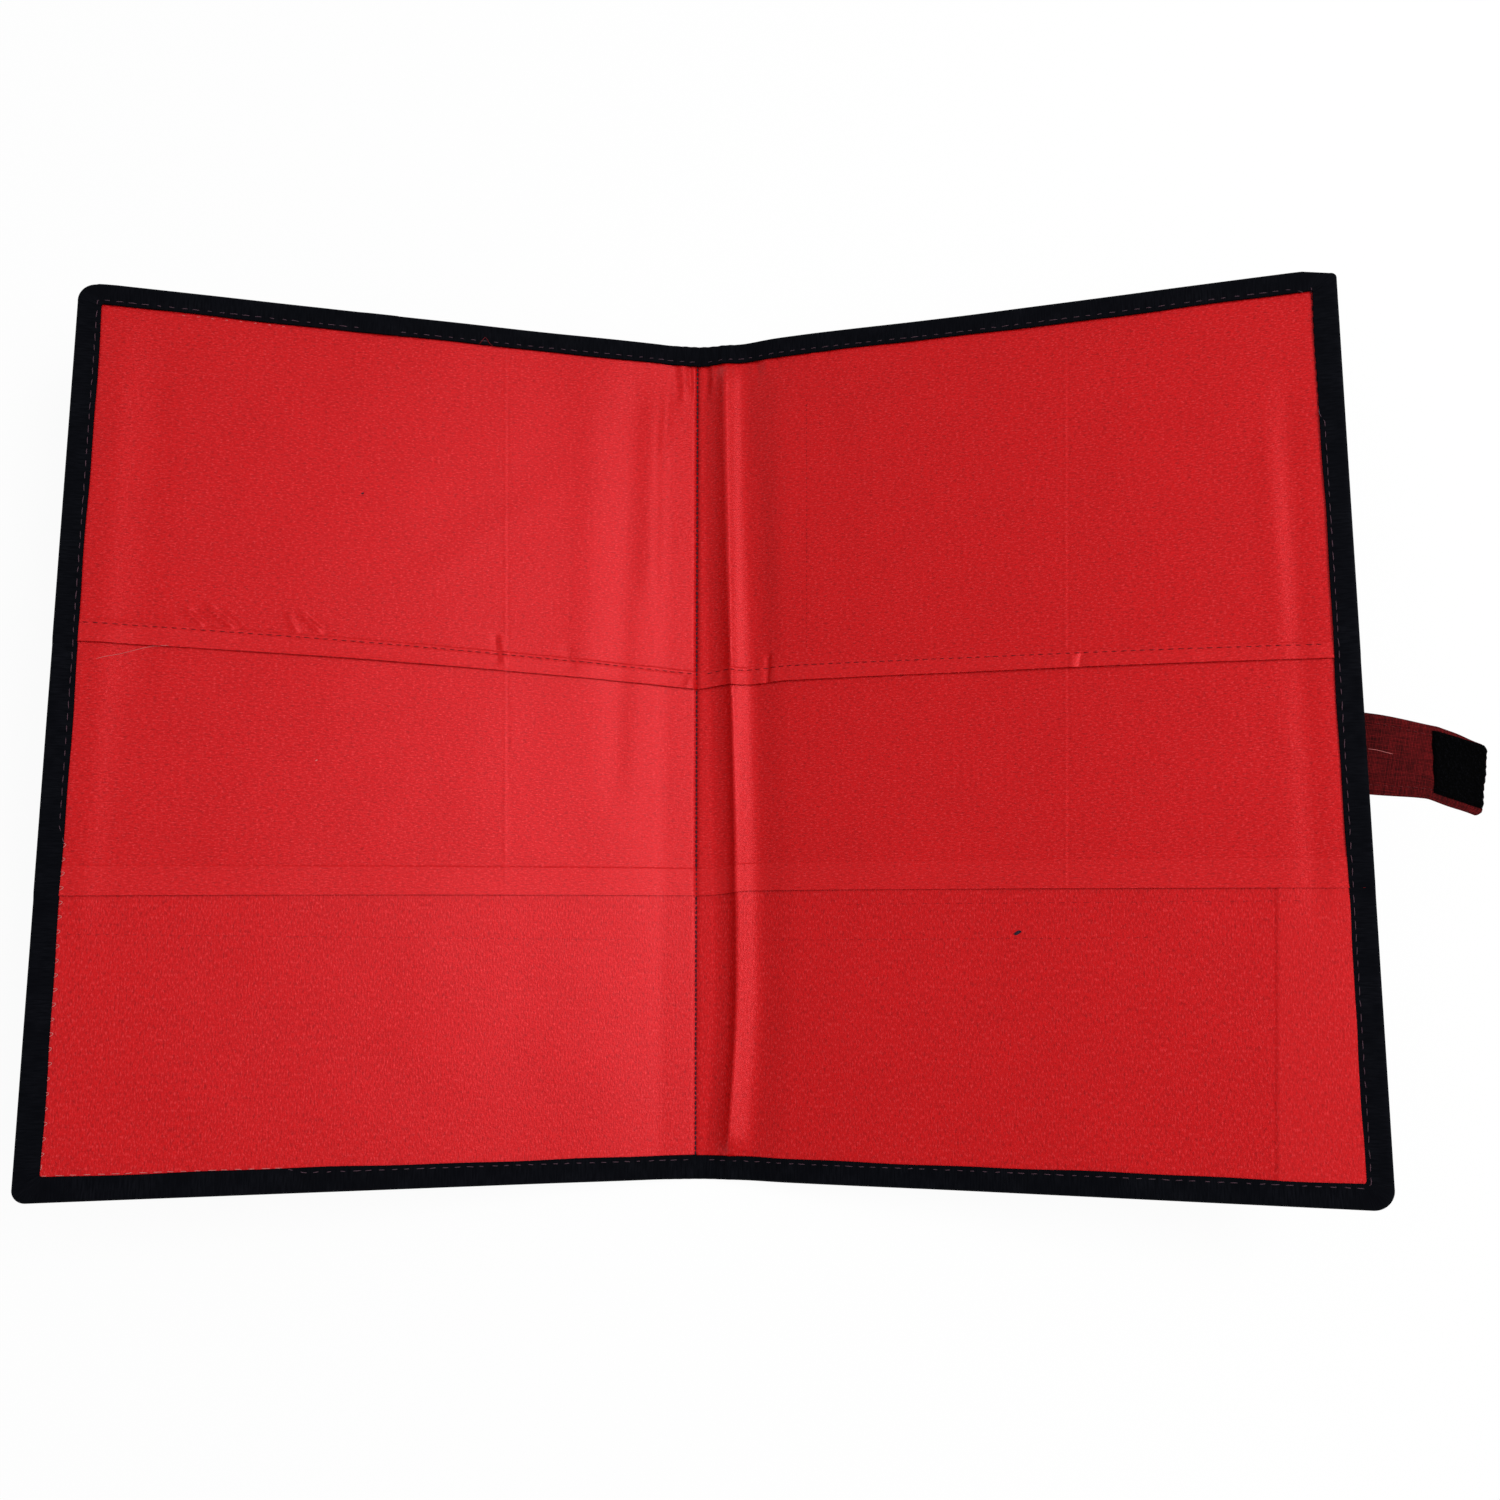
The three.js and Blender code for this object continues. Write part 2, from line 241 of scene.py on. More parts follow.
def jute_cloth(name, pitch, dark, light):
    """Dyed jute: a plain weave of uneven, dull yarn, darker where threads cross."""
    material, tree, shader, place = new_cloth(name, 0.9, 0.08)
    weave = plain_weave(tree, place, pitch)
    slub_warp = noise_at(tree, place, 1.0 / pitch, (1, 0.06, 1))
    slub_weft = noise_at(tree, place, 1.0 / pitch, (0.06, 1, 1))
    patchy = noise_at(tree, place, 55, detail=4)
    yarn = calc(tree, "MULTIPLY", calc(tree, "ADD", slub_warp, slub_weft), 0.5)
    share = calc(tree, "MULTIPLY", spread(tree, weave, 0.1, 1.2), spread(tree, yarn, 0.32, 0.6))
    share = calc(tree, "ADD", share, calc(tree, "MULTIPLY", calc(tree, "SUBTRACT", patchy, 0.5), 0.5))
    tree.links.new(shade_between(tree, share, dark, light), shader.inputs["Base Color"])
    add_bump(tree, shader, calc(tree, "ADD", weave, yarn), pitch * 0.3)
    return material


def outward_columns(side, end, near=0.7 * mm, far=2.2 * mm, dense=(), loose_reach=36 * mm):
    """Places across one half, from the seam out: close in the loose part and at the named creases."""
    places = [0.0]
    while places[-1] < end:
        step = near if places[-1] < loose_reach else far
        for start, stop, fine in dense:
            if start <= side * places[-1] <= stop:
                step = fine
        places.append(places[-1] + step)
    places[-1] = end
    return side * np.array(places)


def half_grid(columns, row_of, lean_reach=14 * mm):
    """Flat places of one half: x leans with the seam near it, and y comes from row_of(x)."""
    y = row_of(columns)
    x = columns[None, :] + 0 * y
    lean = seam_x(y) * (1 - smooth(np.abs(x) / lean_reach))
    return x + lean, y


outer_jute = jute_cloth("outer_jute", 0.6 * mm, (0.016, 0.0012, 0.0016), (0.18, 0.0080, 0.0095))
outer_thickness = 0.8 * mm
outer_underside = 0.05 * mm
under_tape_lift = 0.5 * mm
lift_edge, lift_run = 8.8 * mm, 1.2 * mm


def outer_height(x, y):
    """The underside of the outer cloth: flush with the tape, and lifted to pass under it."""
    return outer_underside + under_tape_lift * (1 - smooth((from_edge(x, y) - lift_edge) / lift_run))


edge_rows = np.array([0, 2, 4, 5, 5.6, 6.2, 6.8, 8]) * mm
outer_rows = np.concatenate([
    -cloth_end + edge_rows,
    np.linspace(-cloth_end + 12 * mm, cloth_end - 12 * mm, 80),
    cloth_end - edge_rows[::-1],
])
for side in (-1, 1):
    name = side_name[side]
    width = fore_edge[side] - sheet_inset
    columns = outward_columns(side, width, near=1.2 * mm, far=4 * mm)
    columns = np.concatenate([columns[:-3], side * (width - edge_rows[::-1])])
    x, y = half_grid(columns, lambda across: outer_rows[:, None] + 0 * across[None, :])
    low = outer_height(x, y)
    outer = thick_mesh(
        f"outer_cloth_{name}", raised(x, y, low + outer_thickness), raised(x, y, low),
        cut_of(x, y), outer_jute,
    )
    bend_with_cover(outer)
    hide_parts(f"{name}_cover_cloth", "spine_cloth")

# Cover boards
# A sheet of grey card with rounded corners stiffens each cover. It lies between the outer cloth and
# the lining, ends short of the soft hinge, and is held all round by the stitched tape.
board_inset = 3.4 * mm
board_corner = 6 * mm
board_low = 1.5 * mm
board_high = 3.1 * mm
board_start = hinge_x + bend_reach + 0.5 * mm
card = bpy.data.materials.new("grey_card")
card.use_nodes = True
card_shader = card.node_tree.nodes["Principled BSDF"]
card_shader.inputs["Roughness"].default_value = 0.92
card_shader.inputs["Specular IOR Level"].default_value = 0.2
card_place = tell(card.node_tree, "ShaderNodeTexCoord").outputs["Object"]
card_fibre = noise_at(card.node_tree, card_place, 900, (1, 0.3, 1), 4)
card_colour = shade_between(card.node_tree, card_fibre, (0.20, 0.17, 0.13), (0.42, 0.37, 0.30))
card.node_tree.links.new(card_colour, card_shader.inputs["Base Color"])
add_bump(card.node_tree, card_shader, card_fibre, 0.1 * mm)
board_end = folder_half_height - board_inset
board_rows = np.linspace(-board_end, board_end, 241)[:, None]
into_corner = np.clip((np.abs(board_rows) - board_end + board_corner) / board_corner, 0, 1)
rounding = board_corner * (1 - np.sqrt(1 - into_corner ** 2))
for side in (-1, 1):
    name = side_name[side]
    board_fore = fore_edge[side] - board_inset - rounding
    across = board_start + (board_fore - board_start) * np.linspace(0, 1, 12)[None, :]
    x, y = np.broadcast_arrays(side * across, board_rows)
    board = thick_mesh(
        f"board_{name}", raised(x, y, board_high + 0 * x), raised(x, y, board_low + 0 * x),
        cut_of(x, y), card,
    )
    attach(board, f"{name}_cover")
    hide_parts(f"{name}_cover_board")

# Lining
# One sheet of red satin lines both covers and the spine. It is loose over the spine, where the
# centre seam pins it down, and its lower band shows below the pockets.
satin_ply = 0.35 * mm
seam_pinch_reach = 0.8 * mm
seam_pinch = (0.45 * mm, 0.7 * mm, 0.95 * mm)
spine_bed = 1.35 * mm
longest_fade = 30 * mm
swell_height = 0.10 * mm


def ridge(x, y, start, end, half_width, height):
    """A soft ridge, or a valley where height is below zero, along a line that fades at both ends."""
    sx, sy = start[0] * mm, start[1] * mm
    ex, ey = end[0] * mm, end[1] * mm
    length = math.hypot(ex - sx, ey - sy)
    ax, ay = (ex - sx) / length, (ey - sy) / length
    along = (x - sx) * ax + (y - sy) * ay
    off = (x - sx) * -ay + (y - sy) * ax
    fade = min(0.3 * length, longest_fade)
    shown = smooth(along / fade + 0.5) * smooth((length - along) / fade + 0.5)
    return height * mm * np.exp(-((off / (half_width * mm)) ** 2)) * shown


def swell(x, y):
    """The slight unevenness of cloth that lies loose on a board."""
    a, b = x / mm, y / mm
    waves = np.sin(a / 17 + b / 41 + 0.6) * np.sin(b / 23 - a / 60 + 1.1)
    waves = waves + 0.6 * np.sin(a / 9.5 - b / 31 + 2.0) * np.sin(b / 13 + a / 47)
    waves = waves + 0.35 * np.sin(a / 6.1 + b / 15 + 0.3) * np.sin(b / 8.3 - a / 21 + 0.8)
    return swell_height * waves


fold_drift = 6.3 * mm
drift_most_y = -95 * mm
drift_reach_head, drift_reach_foot = 170 * mm, 67 * mm


def crest_shift(y):
    """How far the tall fold right of the seam drifts away from it between head and foot."""
    reach = np.where(y > drift_most_y, drift_reach_head, drift_reach_foot)
    return fold_drift * np.exp(-(((y - drift_most_y) / reach) ** 2))


# The loose cloth's folds as ridges and valleys: from x, y to x, y in mm, half width, height
loose_ridges = (
    (-30, 155, -35, -20, 5.5, -0.4), (-20.6, 150, -21.5, 66, 4.6, 0.5), (-12.5, 166, -17, 128, 2.4, -0.3),
    (-46, 150, -48, 30, 7.0, 0.35), (27, 120, 28.5, 30, 4.5, -0.45),
    (38, 160, 37, 60, 6.0, 0.3), (58, 150, 62, 40, 7.0, -0.2), (-232, 160, -233, -80, 5.0, 0.5),
    (-218, 150, -219, 10, 6.0, -0.3), (236, 130, 236, -70, 4.5, -0.5), (228, 110, 229, 30, 4.0, 0.3),
    (88, 116, 126, 57, 2.2, 0.12), (96, 100, 70, 62, 2.4, -0.10), (200, 13, 216, -4, 1.6, 0.16),
    (206, 63, 243, 8, 2.2, 0.12), (172, -121, 212, -97, 2.2, 0.12), (222, 4, 236, -20, 1.6, 0.14),
    (-205, 120, -150, 96, 6.0, -0.15), (-120, 60, -60, 108, 7.0, 0.15), (-180, -20, -120, 6, 6.0, 0.15),
)


# The tall fold, in mm from its drifting foot line: its start, fall, crest, slower fall and level end
fold_start, fold_fall, fold_crest, fold_slow, fold_level = 1.4, 8, 10.9, 16.5, 23.5
fold_height, fold_wave, fold_base = 6.6, 0.3, 2.3
crest_lead, crest_round = 0.3, 1.0
# The left side climbs away from the seam at a slope that stays to one place and is spent at another
left_slope, slope_stays, slope_spent = 0.2, 9, 21
# Steps in mm, each as its start, its run and its height: up onto the board, and back down on it
right_up, right_down, left_down = (19, 17, 1.8), (44, 80, -2.35), (24, 50, -0.95)
# The two creases from an old fold: from x, y to x, y and their height, in mm
creases = ((-83.6, 142, -78.8, -45, 0.06), (153.5, 134, 147.9, -47, 0.11))
crease_head, crease_low, crease_width, groove_width = 172, -62, 0.5, 0.6


def spent(share):
    """How far a slope carries while it dies away evenly: half of the run when share is 1."""
    return share - share ** 3 + share ** 4 / 2


def step_up(place, start, run, height):
    """A soft step of the given height."""
    return height * smooth((place - start) / run)


def right_of_seam(r, y):
    """Height in mm right of the seam: ever steeper up to a crest, down again and onto the board."""
    away = r - crest_shift(y) / mm
    held_down = 1 - 0.6 * smooth((np.abs(y) - 157 * mm) / (14 * mm))
    tall = (fold_height + fold_wave * np.sin(y / (31 * mm) + 0.4)) * held_down
    climb = np.clip((away - fold_start) / (fold_crest - fold_start), 0, 2)
    rising = tall * (0.36 * climb + 0.64 * climb ** 2.2)
    slowing = fold_level - fold_slow
    fall_left = np.maximum(fold_slow - np.maximum(away, fold_fall), 0)
    fall_left = fall_left + slowing * (0.5 - spent(np.clip((away - fold_slow) / slowing, 0, 1)))
    fall_share = fall_left / (fold_slow - fold_crest + slowing / 2)
    falling = fold_base + (tall + crest_lead - fold_base) * fall_share
    fold = (rising + falling - np.sqrt((rising - falling) ** 2 + crest_round)) / 2
    return np.maximum(fold, 0) + step_up(away, *right_up) + step_up(r, *right_down)


def left_of_seam(r):
    """Height in mm left of the seam: up at an even slope, then level on the board."""
    out = np.maximum(-r, 0)
    run = slope_spent - slope_stays
    dying = spent(np.clip((out - slope_stays) / run, 0, 1))
    return left_slope * (np.minimum(out, slope_stays) + run * dying) + step_up(out, *left_down)


def bed(x, y):
    """The height that the lowest red ply lies at: low at the seam, up on the boards, with every fold."""
    r = (x - seam_x(y)) / mm
    total = spine_bed + np.where(r > 0, right_of_seam(r, y), left_of_seam(r)) * mm
    total = total + swell(x, y) * smooth(np.abs(r) / 25)
    for sx, sy, ex, ey, half_width, height in loose_ridges:
        total = total + ridge(x, y, (sx, sy), (ex, ey), half_width, height)
    for x0, y0, x1, y1, height in creases:
        lean = (x1 - x0) / (y1 - y0)
        head_x = x0 + lean * (crease_head - y0)
        low_x = x0 + lean * (crease_low - y0)
        total = total + ridge(x, y, (head_x, crease_head), (low_x, crease_low), crease_width, height)
        total = total - ridge(x, y, (head_x + 1.0, crease_head), (low_x + 1.0, crease_low),
                              groove_width, height * 0.7)
    return total


tier_step, tier_slack, slack_reach = 0.65 * mm, 0.05 * mm, 15 * mm


def red_height(x, y, tier, pinch):
    """Underside of a red ply: tier 0 is the lining, 1 the long pocket and 2 the short one."""
    r = x - seam_x(y)
    step = tier_step + tier_slack * smooth(np.abs(r) / slack_reach)
    return bed(x, y) + tier * step - pinch * np.exp(-((r / seam_pinch_reach) ** 2))


satin_dark, satin_light = (0.328, 0.0001, 0.0001), (0.508, 0.0030, 0.0033)
# The glint colour is a painted highlight: pale pink specks laid in the satin's base colour.
satin_speck, satin_painted_glint = (0.26, 0.0001, 0.0002), (0.57, 0.024, 0.027)
satin_doubled, doubled_share = (0.62, 0.022, 0.024), 0.09
satin_gloss_tint = (1.0, 0.12, 0.14, 1)


def red_satin(name, streak, pitch):
    """Red satin: fine dyed threads, a soft red gloss, a little uneven along one way, and painted highlight
    specks.
    """
    material, tree, shader, place = new_cloth(name, 0.38, 1.0)
    shader.inputs["Specular Tint"].default_value = satin_gloss_tint
    slub = calc(tree, "MULTIPLY", noise_at(tree, place, 1350, streak, 3), 0.55)
    grain = calc(tree, "MULTIPLY", noise_at(tree, place, 1700), 0.45)
    speck = spread(tree, noise_at(tree, place, 1300, streak, 1), 0.56, 0.72)
    # Where the satin sparkles, pale specks are painted into the colour as painted highlights.
    painted_glint = spread(tree, noise_at(tree, place, 1900, streak), 0.54, 0.72)
    cloud = calc(tree, "SUBTRACT", noise_at(tree, place, 42, detail=3), 0.5)
    woven = calc(tree, "ADD", calc(tree, "MULTIPLY", plain_weave(tree, place, pitch), 0.35), 0.7)
    thread_share = spread(tree, calc(tree, "ADD", slub, grain), 0.36, 0.64)
    share = calc(tree, "MULTIPLY", thread_share, woven)
    share = calc(tree, "ADD", share, calc(tree, "MULTIPLY", cloud, 0.3))
    colour = shade_between(tree, share, satin_dark, satin_light)
    colour = shade_between(tree, speck, colour, satin_speck)
    colour = shade_between(tree, painted_glint, colour, satin_painted_glint)
    folded = tell(tree, "ShaderNodeAttribute", attribute_name="folded").outputs["Fac"]
    doubled = calc(tree, "MULTIPLY", folded, doubled_share)
    colour = shade_between(tree, doubled, colour, satin_doubled)
    tree.links.new(colour, shader.inputs["Base Color"])
    add_bump(tree, shader, share, 0.05 * mm)
    return material


pocket_satin = red_satin("pocket_satin", (0.4, 1, 1), 0.42 * mm)
lining_satin = red_satin("lining_satin", (1, 0.35, 1), 0.5 * mm)
joined_strip = (222.6, -63, 217.3, -167)
strip_ply, strip_edge = 0.4 * mm, 0.7 * mm


def strip_step(x, y):
    """A strip let in at the right of the lower band, one ply higher than the lining beside it."""
    x0, y0, x1, y1 = joined_strip
    line = (x0 + (x1 - x0) * (y / mm - y0) / (y1 - y0)) * mm
    return strip_ply * smooth((x - line) / strip_edge)


def red_half(name, side, columns, row_of, tier, extra, material):
    """Cuts and lays one half of a red sheet, bent round its cover's hinge."""
    x, y = half_grid(columns, row_of)
    lift, double = extra(x, y)
    low = red_height(x, y, tier, seam_pinch[tier]) + lift
    made = thick_mesh(
        f"{name}_{side_name[side]}", raised(x, y, low + double + satin_ply), raised(x, y, low),
        cut_of(x, y), material,
    )
    folded = made.data.attributes.new("folded", "FLOAT", "POINT")
    folded.data.foreach_set("value", np.tile((double / hem_ply_thickness).ravel(), 2).astype(np.float32))
    bend_with_cover(made)
    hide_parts(f"{side_name[side]}_{name}", f"spine_{name}")
    return made


def lining_extra(x, y):
    """The lining has no lifted mouth and no hem, only the step of the strip."""
    return 0 * x, strip_step(x, y)


hem_ply_thickness = 0.3 * mm
lining_rows = np.concatenate([
    np.linspace(-cloth_end, -cloth_end + 14 * mm, 12)[:-1],
    np.linspace(-cloth_end + 14 * mm, -56 * mm, 56),
    np.linspace(-50 * mm, cloth_end, 24),
])
for side in (-1, 1):
    red_half(
        "lining", side,
        outward_columns(side, fore_edge[side] - sheet_inset, dense=((215 * mm, 226 * mm, 0.6 * mm),)),
        lambda across: lining_rows[:, None] + 0 * across[None, :],
        0, lining_extra, lining_satin,
    )

# Long pocket
# A sheet of the same satin lies on the lining. Its mouth faces the foot and is turned in to a deep
# hem, and it is held by the tape at the head and sides and by the centre seam.
long_mouth = folder_half_height - 238.5 * mm
long_hem = 10.5 * mm


def share_out(x):
    """How far out a place lies on the left and on the right half: 1 at the fore edge."""
    return np.clip(-x / fore_edge[-1], 0, 1), np.clip(x / fore_edge[1], 0, 1)


def long_mouth_at(x):
    """The long pocket's mouth: it rises to the seam and steps up a little just right of it."""
    left, right = share_out(x)
    rise = np.where(x < 0, 1.1 - 2.9 * left ** 1.5, 1.1 + 1.8 * smooth(x / (26 * mm)) - 1.9 * right ** 2)
    return long_mouth + rise * mm


def free_of_tape(x):
    """1 where a ply is free, and 0 where the tape holds it at the fore edges."""
    fore = np.where(x < 0, fore_edge[-1], fore_edge[1])
    return smooth((fore - np.abs(x) - 9 * mm) / (7 * mm))


def rows_from(mouth_at, offsets, count):
    """Rows at fixed offsets above a mouth, and then evenly up to the head."""
    def row_of(across):
        first = mouth_at(across)[None, :] + offsets[:, None]
        share = (np.arange(1, count + 1) / count)[:, None]
        return np.concatenate([first, first[-1:] + (cloth_end - first[-1:]) * share])
    return row_of


def hem_ply(above, depth):
    """The hem's second ply, which ends a little above the stitching."""
    return hem_ply_thickness * (1 - smooth((above - depth - 0.3 * mm) / (0.7 * mm)))


def long_extra(x, y):
    """Lift of the mouth off the lining, and the second ply of the hem."""
    above = y - long_mouth_at(x)
    mouth_lift = (0.3 + 0.16 * np.sin(x / (19 * mm))) * mm * np.exp(-above / (5 * mm)) * free_of_tape(x)
    return mouth_lift, hem_ply(above, long_hem)


long_offsets = np.concatenate([
    np.array([0, 0.3, 0.8, 1.6, 3, 4.6, 6.4, 8.2, 9.6]) * mm,
    long_hem + np.array([0, 0.3, 0.65, 1.0, 1.4]) * mm,
    long_hem + np.arange(3, 84, 2.0) * mm,
])
for side in (-1, 1):
    fine_places = ((-86 * mm, -76 * mm, 0.5 * mm), (145 * mm, 156 * mm, 0.5 * mm))
    red_half(
        "long_pocket", side,
        outward_columns(side, fore_edge[side] - sheet_inset, dense=fine_places),
        rows_from(long_mouth_at, long_offsets, 20),
        1, long_extra, pocket_satin,
    )

# Short pocket
# The front pocket is a shorter sheet of the same satin with a narrow stitched hem. It was sewn a
# little askew, so its mouth is lower at the seam and on the right, and its hem puckers on the left.
short_mouth_seam = folder_half_height - 151.5 * mm


def short_mouth_at(x):
    """The short pocket's mouth: it climbs to the left fore edge and sinks to the right one."""
    left, right = share_out(x)
    climb = 7.5 * left + 1.9 * np.sin(math.pi * left ** 0.85)
    sink = 3.2 * right ** 2.4 - 1.7 * smooth(x / (40 * mm))
    step = 1.0 * np.exp(-(((x / mm - 9) / 6) ** 2))
    return short_mouth_seam + (climb - sink + step) * mm


short_hem, hem_taper = 6.3 * mm, 0.0045


def short_hem_at(x):
    """Depth of the short pocket's hem, deepest at the left fore edge and least at the right one."""
    return short_hem - hem_taper * x


# Puckers at the hem, gathers under the head tape and one sharp fold: x, y to x, y, half width, height
short_ridges = (
    (-203.6, 45.2, -196.6, 39.4, 1.0, 0.75), (-200.6, 45.6, -193.8, 39.8, 0.9, -0.5),
    (-195.4, 46.6, -185.2, 39.4, 1.0, 0.85), (-192.2, 46.4, -183.0, 39.6, 0.9, -0.5),
    (-166, 45.4, -161.8, 39.4, 0.9, 0.65), (-160.6, 46, -152.8, 40, 1.1, 0.7),
    (-158, 46, -150.6, 40, 0.9, -0.4), (-85.2, 42, -83.8, 31, 1.3, -0.4),
    (-82.4, 41, -81.0, 31, 1.3, 0.3), (-56, 40, -54, 30, 1.6, -0.35),
    (26.4, 37, 26.2, 22, 2.0, 0.2), (29.6, 37, 29.3, 22, 1.2, -0.9), (32.8, 37, 32.4, 22, 2.0, 0.2),
    (-5.4, 172, -4.4, 154, 0.9, -0.6), (-11.5, 172, -10.2, 150, 1.4, -0.4),
    (-8.4, 170, -7.4, 152, 1.2, 0.35),
    (2.6, 172, 2.2, 150, 0.9, -0.6), (5.4, 172, 5.0, 152, 0.9, 0.5), (23, 172, 26, 158, 1.2, -0.45),
    (27.5, 172, 30, 160, 1.1, 0.4), (33, 171, 35, 161, 1.1, -0.35), (51, 170, 50, 161, 1.1, 0.45),
    (56, 170, 54.5, 160, 1.1, -0.35), (64, 170, 62.6, 161, 1.0, 0.4), (80, 170, 79, 163, 1.0, 0.3),
    (-230, 36, -205, 39, 3.0, 0.3), (-4, 28, -5.5, 24, 1.2, 0.35), (8, 30, 5, 24, 1.5, 0.3),
    (156.6, 30, 154.8, 22, 1.0, -0.6), (152.8, 29, 151.6, 22, 1.2, 0.35), (146, 29, 143, 24, 1.3, 0.3),
    (196, 30, 199, 24, 1.3, 0.3), (238, 30, 240, 24, 1.5, 0.3),
)


def short_extra(x, y):
    """Lift of the mouth, the hem's second ply, its puckers and the gathers under the tape."""
    above = y - short_mouth_at(x)
    lift = (0.42 + 0.2 * np.sin(x / (23 * mm) + 1)) * mm * np.exp(-above / (4 * mm)) * free_of_tape(x)
    for sx, sy, ex, ey, half_width, height in short_ridges:
        lift = lift + ridge(x, y, (sx, sy), (ex, ey), half_width, height)
    stitch_dip = 0.16 * mm * np.exp(-(((above - short_hem_at(x)) / (0.5 * mm)) ** 2))
    return lift - stitch_dip, hem_ply(above, short_hem_at(x) + 0.4 * mm)


short_offsets = np.concatenate([
    np.array([0, 0.3, 0.8, 1.6, 2.8, 4.0, 4.8, 5.4]) * mm,
    np.arange(6.0, 8.7, 0.3) * mm,
    np.arange(9, 25, 1.0) * mm,
])
for side in (-1, 1):
    puckers = (-206 * mm, -150 * mm, 0.9 * mm)
    fine_places = (puckers, (-87 * mm, -77 * mm, 0.5 * mm), (147 * mm, 156 * mm, 0.5 * mm))
    red_half(
        "short_pocket", side,
        outward_columns(side, fore_edge[side] - sheet_inset, dense=fine_places, far=2.0 * mm),
        rows_from(short_mouth_at, short_offsets, 62),
        2, short_extra, pocket_satin,
    )

# Seams
# Cotton thread holds the plies: a navy centre seam that pulls the cloth down into a valley from
# head to foot, a dark red row along the short hem, and rows of needle marks left by sewing.
chance = np.random.default_rng(11)


def red_top(x, y, tier):
    """The upper face of the top red ply at a place."""
    lift, double = (lining_extra, long_extra, short_extra)[tier](x, y)
    return red_height(x, y, tier, seam_pinch[tier]) + lift + double + satin_ply


def red_top_any(x, y):
    """The upper face of the red cloth, whichever tier lies on top there."""
    on_long = y > long_mouth_at(x)
    on_short = y > short_mouth_at(x)
    top = np.where(on_long, red_top(x, y, 1), red_top(x, y, 0))
    return np.where(on_short, red_top(x, y, 2), top)


def stitches(line, pitch, dash, radius, place, waver=0.12):
    """Runs of points for a row of stitches along a line: each is a low arch between two needle holes."""
    line = np.array(line, float)
    reach = np.concatenate([[0], np.cumsum(np.hypot(*np.diff(line, axis=0).T))])
    arch = np.array([-0.6, 0.5, 0.9, 0.5, -0.6]) * radius
    runs = []
    for start in np.arange(0.3 * pitch, reach[-1] - dash, pitch):
        s = start + np.linspace(0, dash * (1 + waver * chance.uniform(-1, 1)), 5)
        x = np.interp(s, reach, line[:, 0])
        y = np.interp(s, reach, line[:, 1])
        slant = radius * waver * 4 * chance.uniform(-1, 1) * np.linspace(-1, 1, 5)
        way = np.array([x[-1] - x[0], y[-1] - y[0]])
        way = way / max(np.hypot(*way), 1e-9)
        runs.append(np.stack(place(x - way[1] * slant, y + way[0] * slant, arch), axis=-1))
    return runs


def on_red(x, y, arch):
    """Lays a stitch on the red cloth."""
    return x, y, red_top_any(x, y) + arch


def sew(name, runs, radius, material, body=None):
    """One mesh of many short threads, each a six-sided tube that narrows into its needle holes."""
    turns = np.arange(6) * math.pi / 3
    points, faces, flat = [], [], []
    for run in runs:
        base = len(points) * 6
        steps = len(run)
        way = np.gradient(run, axis=0)
        way = way / np.linalg.norm(way, axis=1, keepdims=True)
        out = np.cross(way, (0, 0, 1))
        out = out / np.maximum(np.linalg.norm(out, axis=1, keepdims=True), 1e-9)
        up = np.cross(out, way)
        size = radius * np.concatenate([[0.45], np.ones(steps - 2), [0.45]])
        for place in range(steps):
            ring = (np.cos(turns)[:, None] * out[place] + np.sin(turns)[:, None] * up[place]) * size[place]
            spot = run[place] + ring
            points.append(raised(spot[:, 0], spot[:, 1], spot[:, 2]))
            flat.append(np.stack([turns, np.full(6, place * 0.5 + base * 0.01)], axis=-1))
        for place in range(steps - 1):
            for k in range(6):
                a, b = base + place * 6 + k, base + place * 6 + (k + 1) % 6
                faces.append((a, b, b + 6, a + 6))
        faces.append(tuple(base + k for k in range(5, -1, -1)))
        faces.append(tuple(base + (steps - 1) * 6 + k for k in range(6)))
    mesh = bpy.data.meshes.new(name)
    mesh.from_pydata(np.concatenate(points).tolist(), [], faces)
    finish_mesh(mesh, np.concatenate(flat))
    mesh.materials.append(material)
    made = bpy.data.objects.new(name, mesh)
    scene.collection.objects.link(made)
    if body:
        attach(made, body)
    return made


def thread(name, dark, light):
    """Sewing thread: two plies twisted together, with a little gloss."""
    material, tree, shader, place = new_cloth(name, 0.6, 0.12)
    twist = tell(tree, "ShaderNodeTexWave", wave_type="BANDS", bands_direction="DIAGONAL")
    twist.inputs["Scale"].default_value = 0.7
    twist.inputs["Distortion"].default_value = 1.0
    tree.links.new(place, twist.inputs["Vector"])
    tree.links.new(shade_between(tree, twist.outputs["Fac"], dark, light), shader.inputs["Base Color"])
    return material


navy_thread = thread("navy_thread", (0.004, 0.003, 0.006), (0.03, 0.018, 0.035))
red_thread = thread("red_thread", (0.085, 0.002, 0.004), (0.19, 0.005, 0.008))
mark_thread = thread("mark_thread", (0.22, 0.004, 0.007), (0.34, 0.008, 0.012))

seam_end = 166 * mm
seam_pitch = 1.95 * mm
seam_radius = 0.27 * mm
short_tier_start = 24 * mm
seam_y = np.linspace(seam_end, -seam_end, 60)
seam_line = np.stack([seam_x(seam_y) - 0.1 * mm, seam_y], axis=-1)


def in_valley(x, y, arch):
    """Lays the seam's thread in its valley, one ply higher inside each pocket."""
    level = np.where(y > short_tier_start, 2.35, np.where(y > long_mouth, 1.9, 1.45)) * mm
    return x, y, level + arch


inside_seam = stitches(seam_line, seam_pitch, 1.6 * mm, seam_radius, in_valley)
outside_seam = stitches(
    seam_line, seam_pitch, 1.5 * mm, 0.2 * mm,
    lambda x, y, arch: (x, y, outer_underside + 0.12 * mm - 0.4 * arch),
)
sew("centre_seam", inside_seam + outside_seam, seam_radius, navy_thread, "spine")

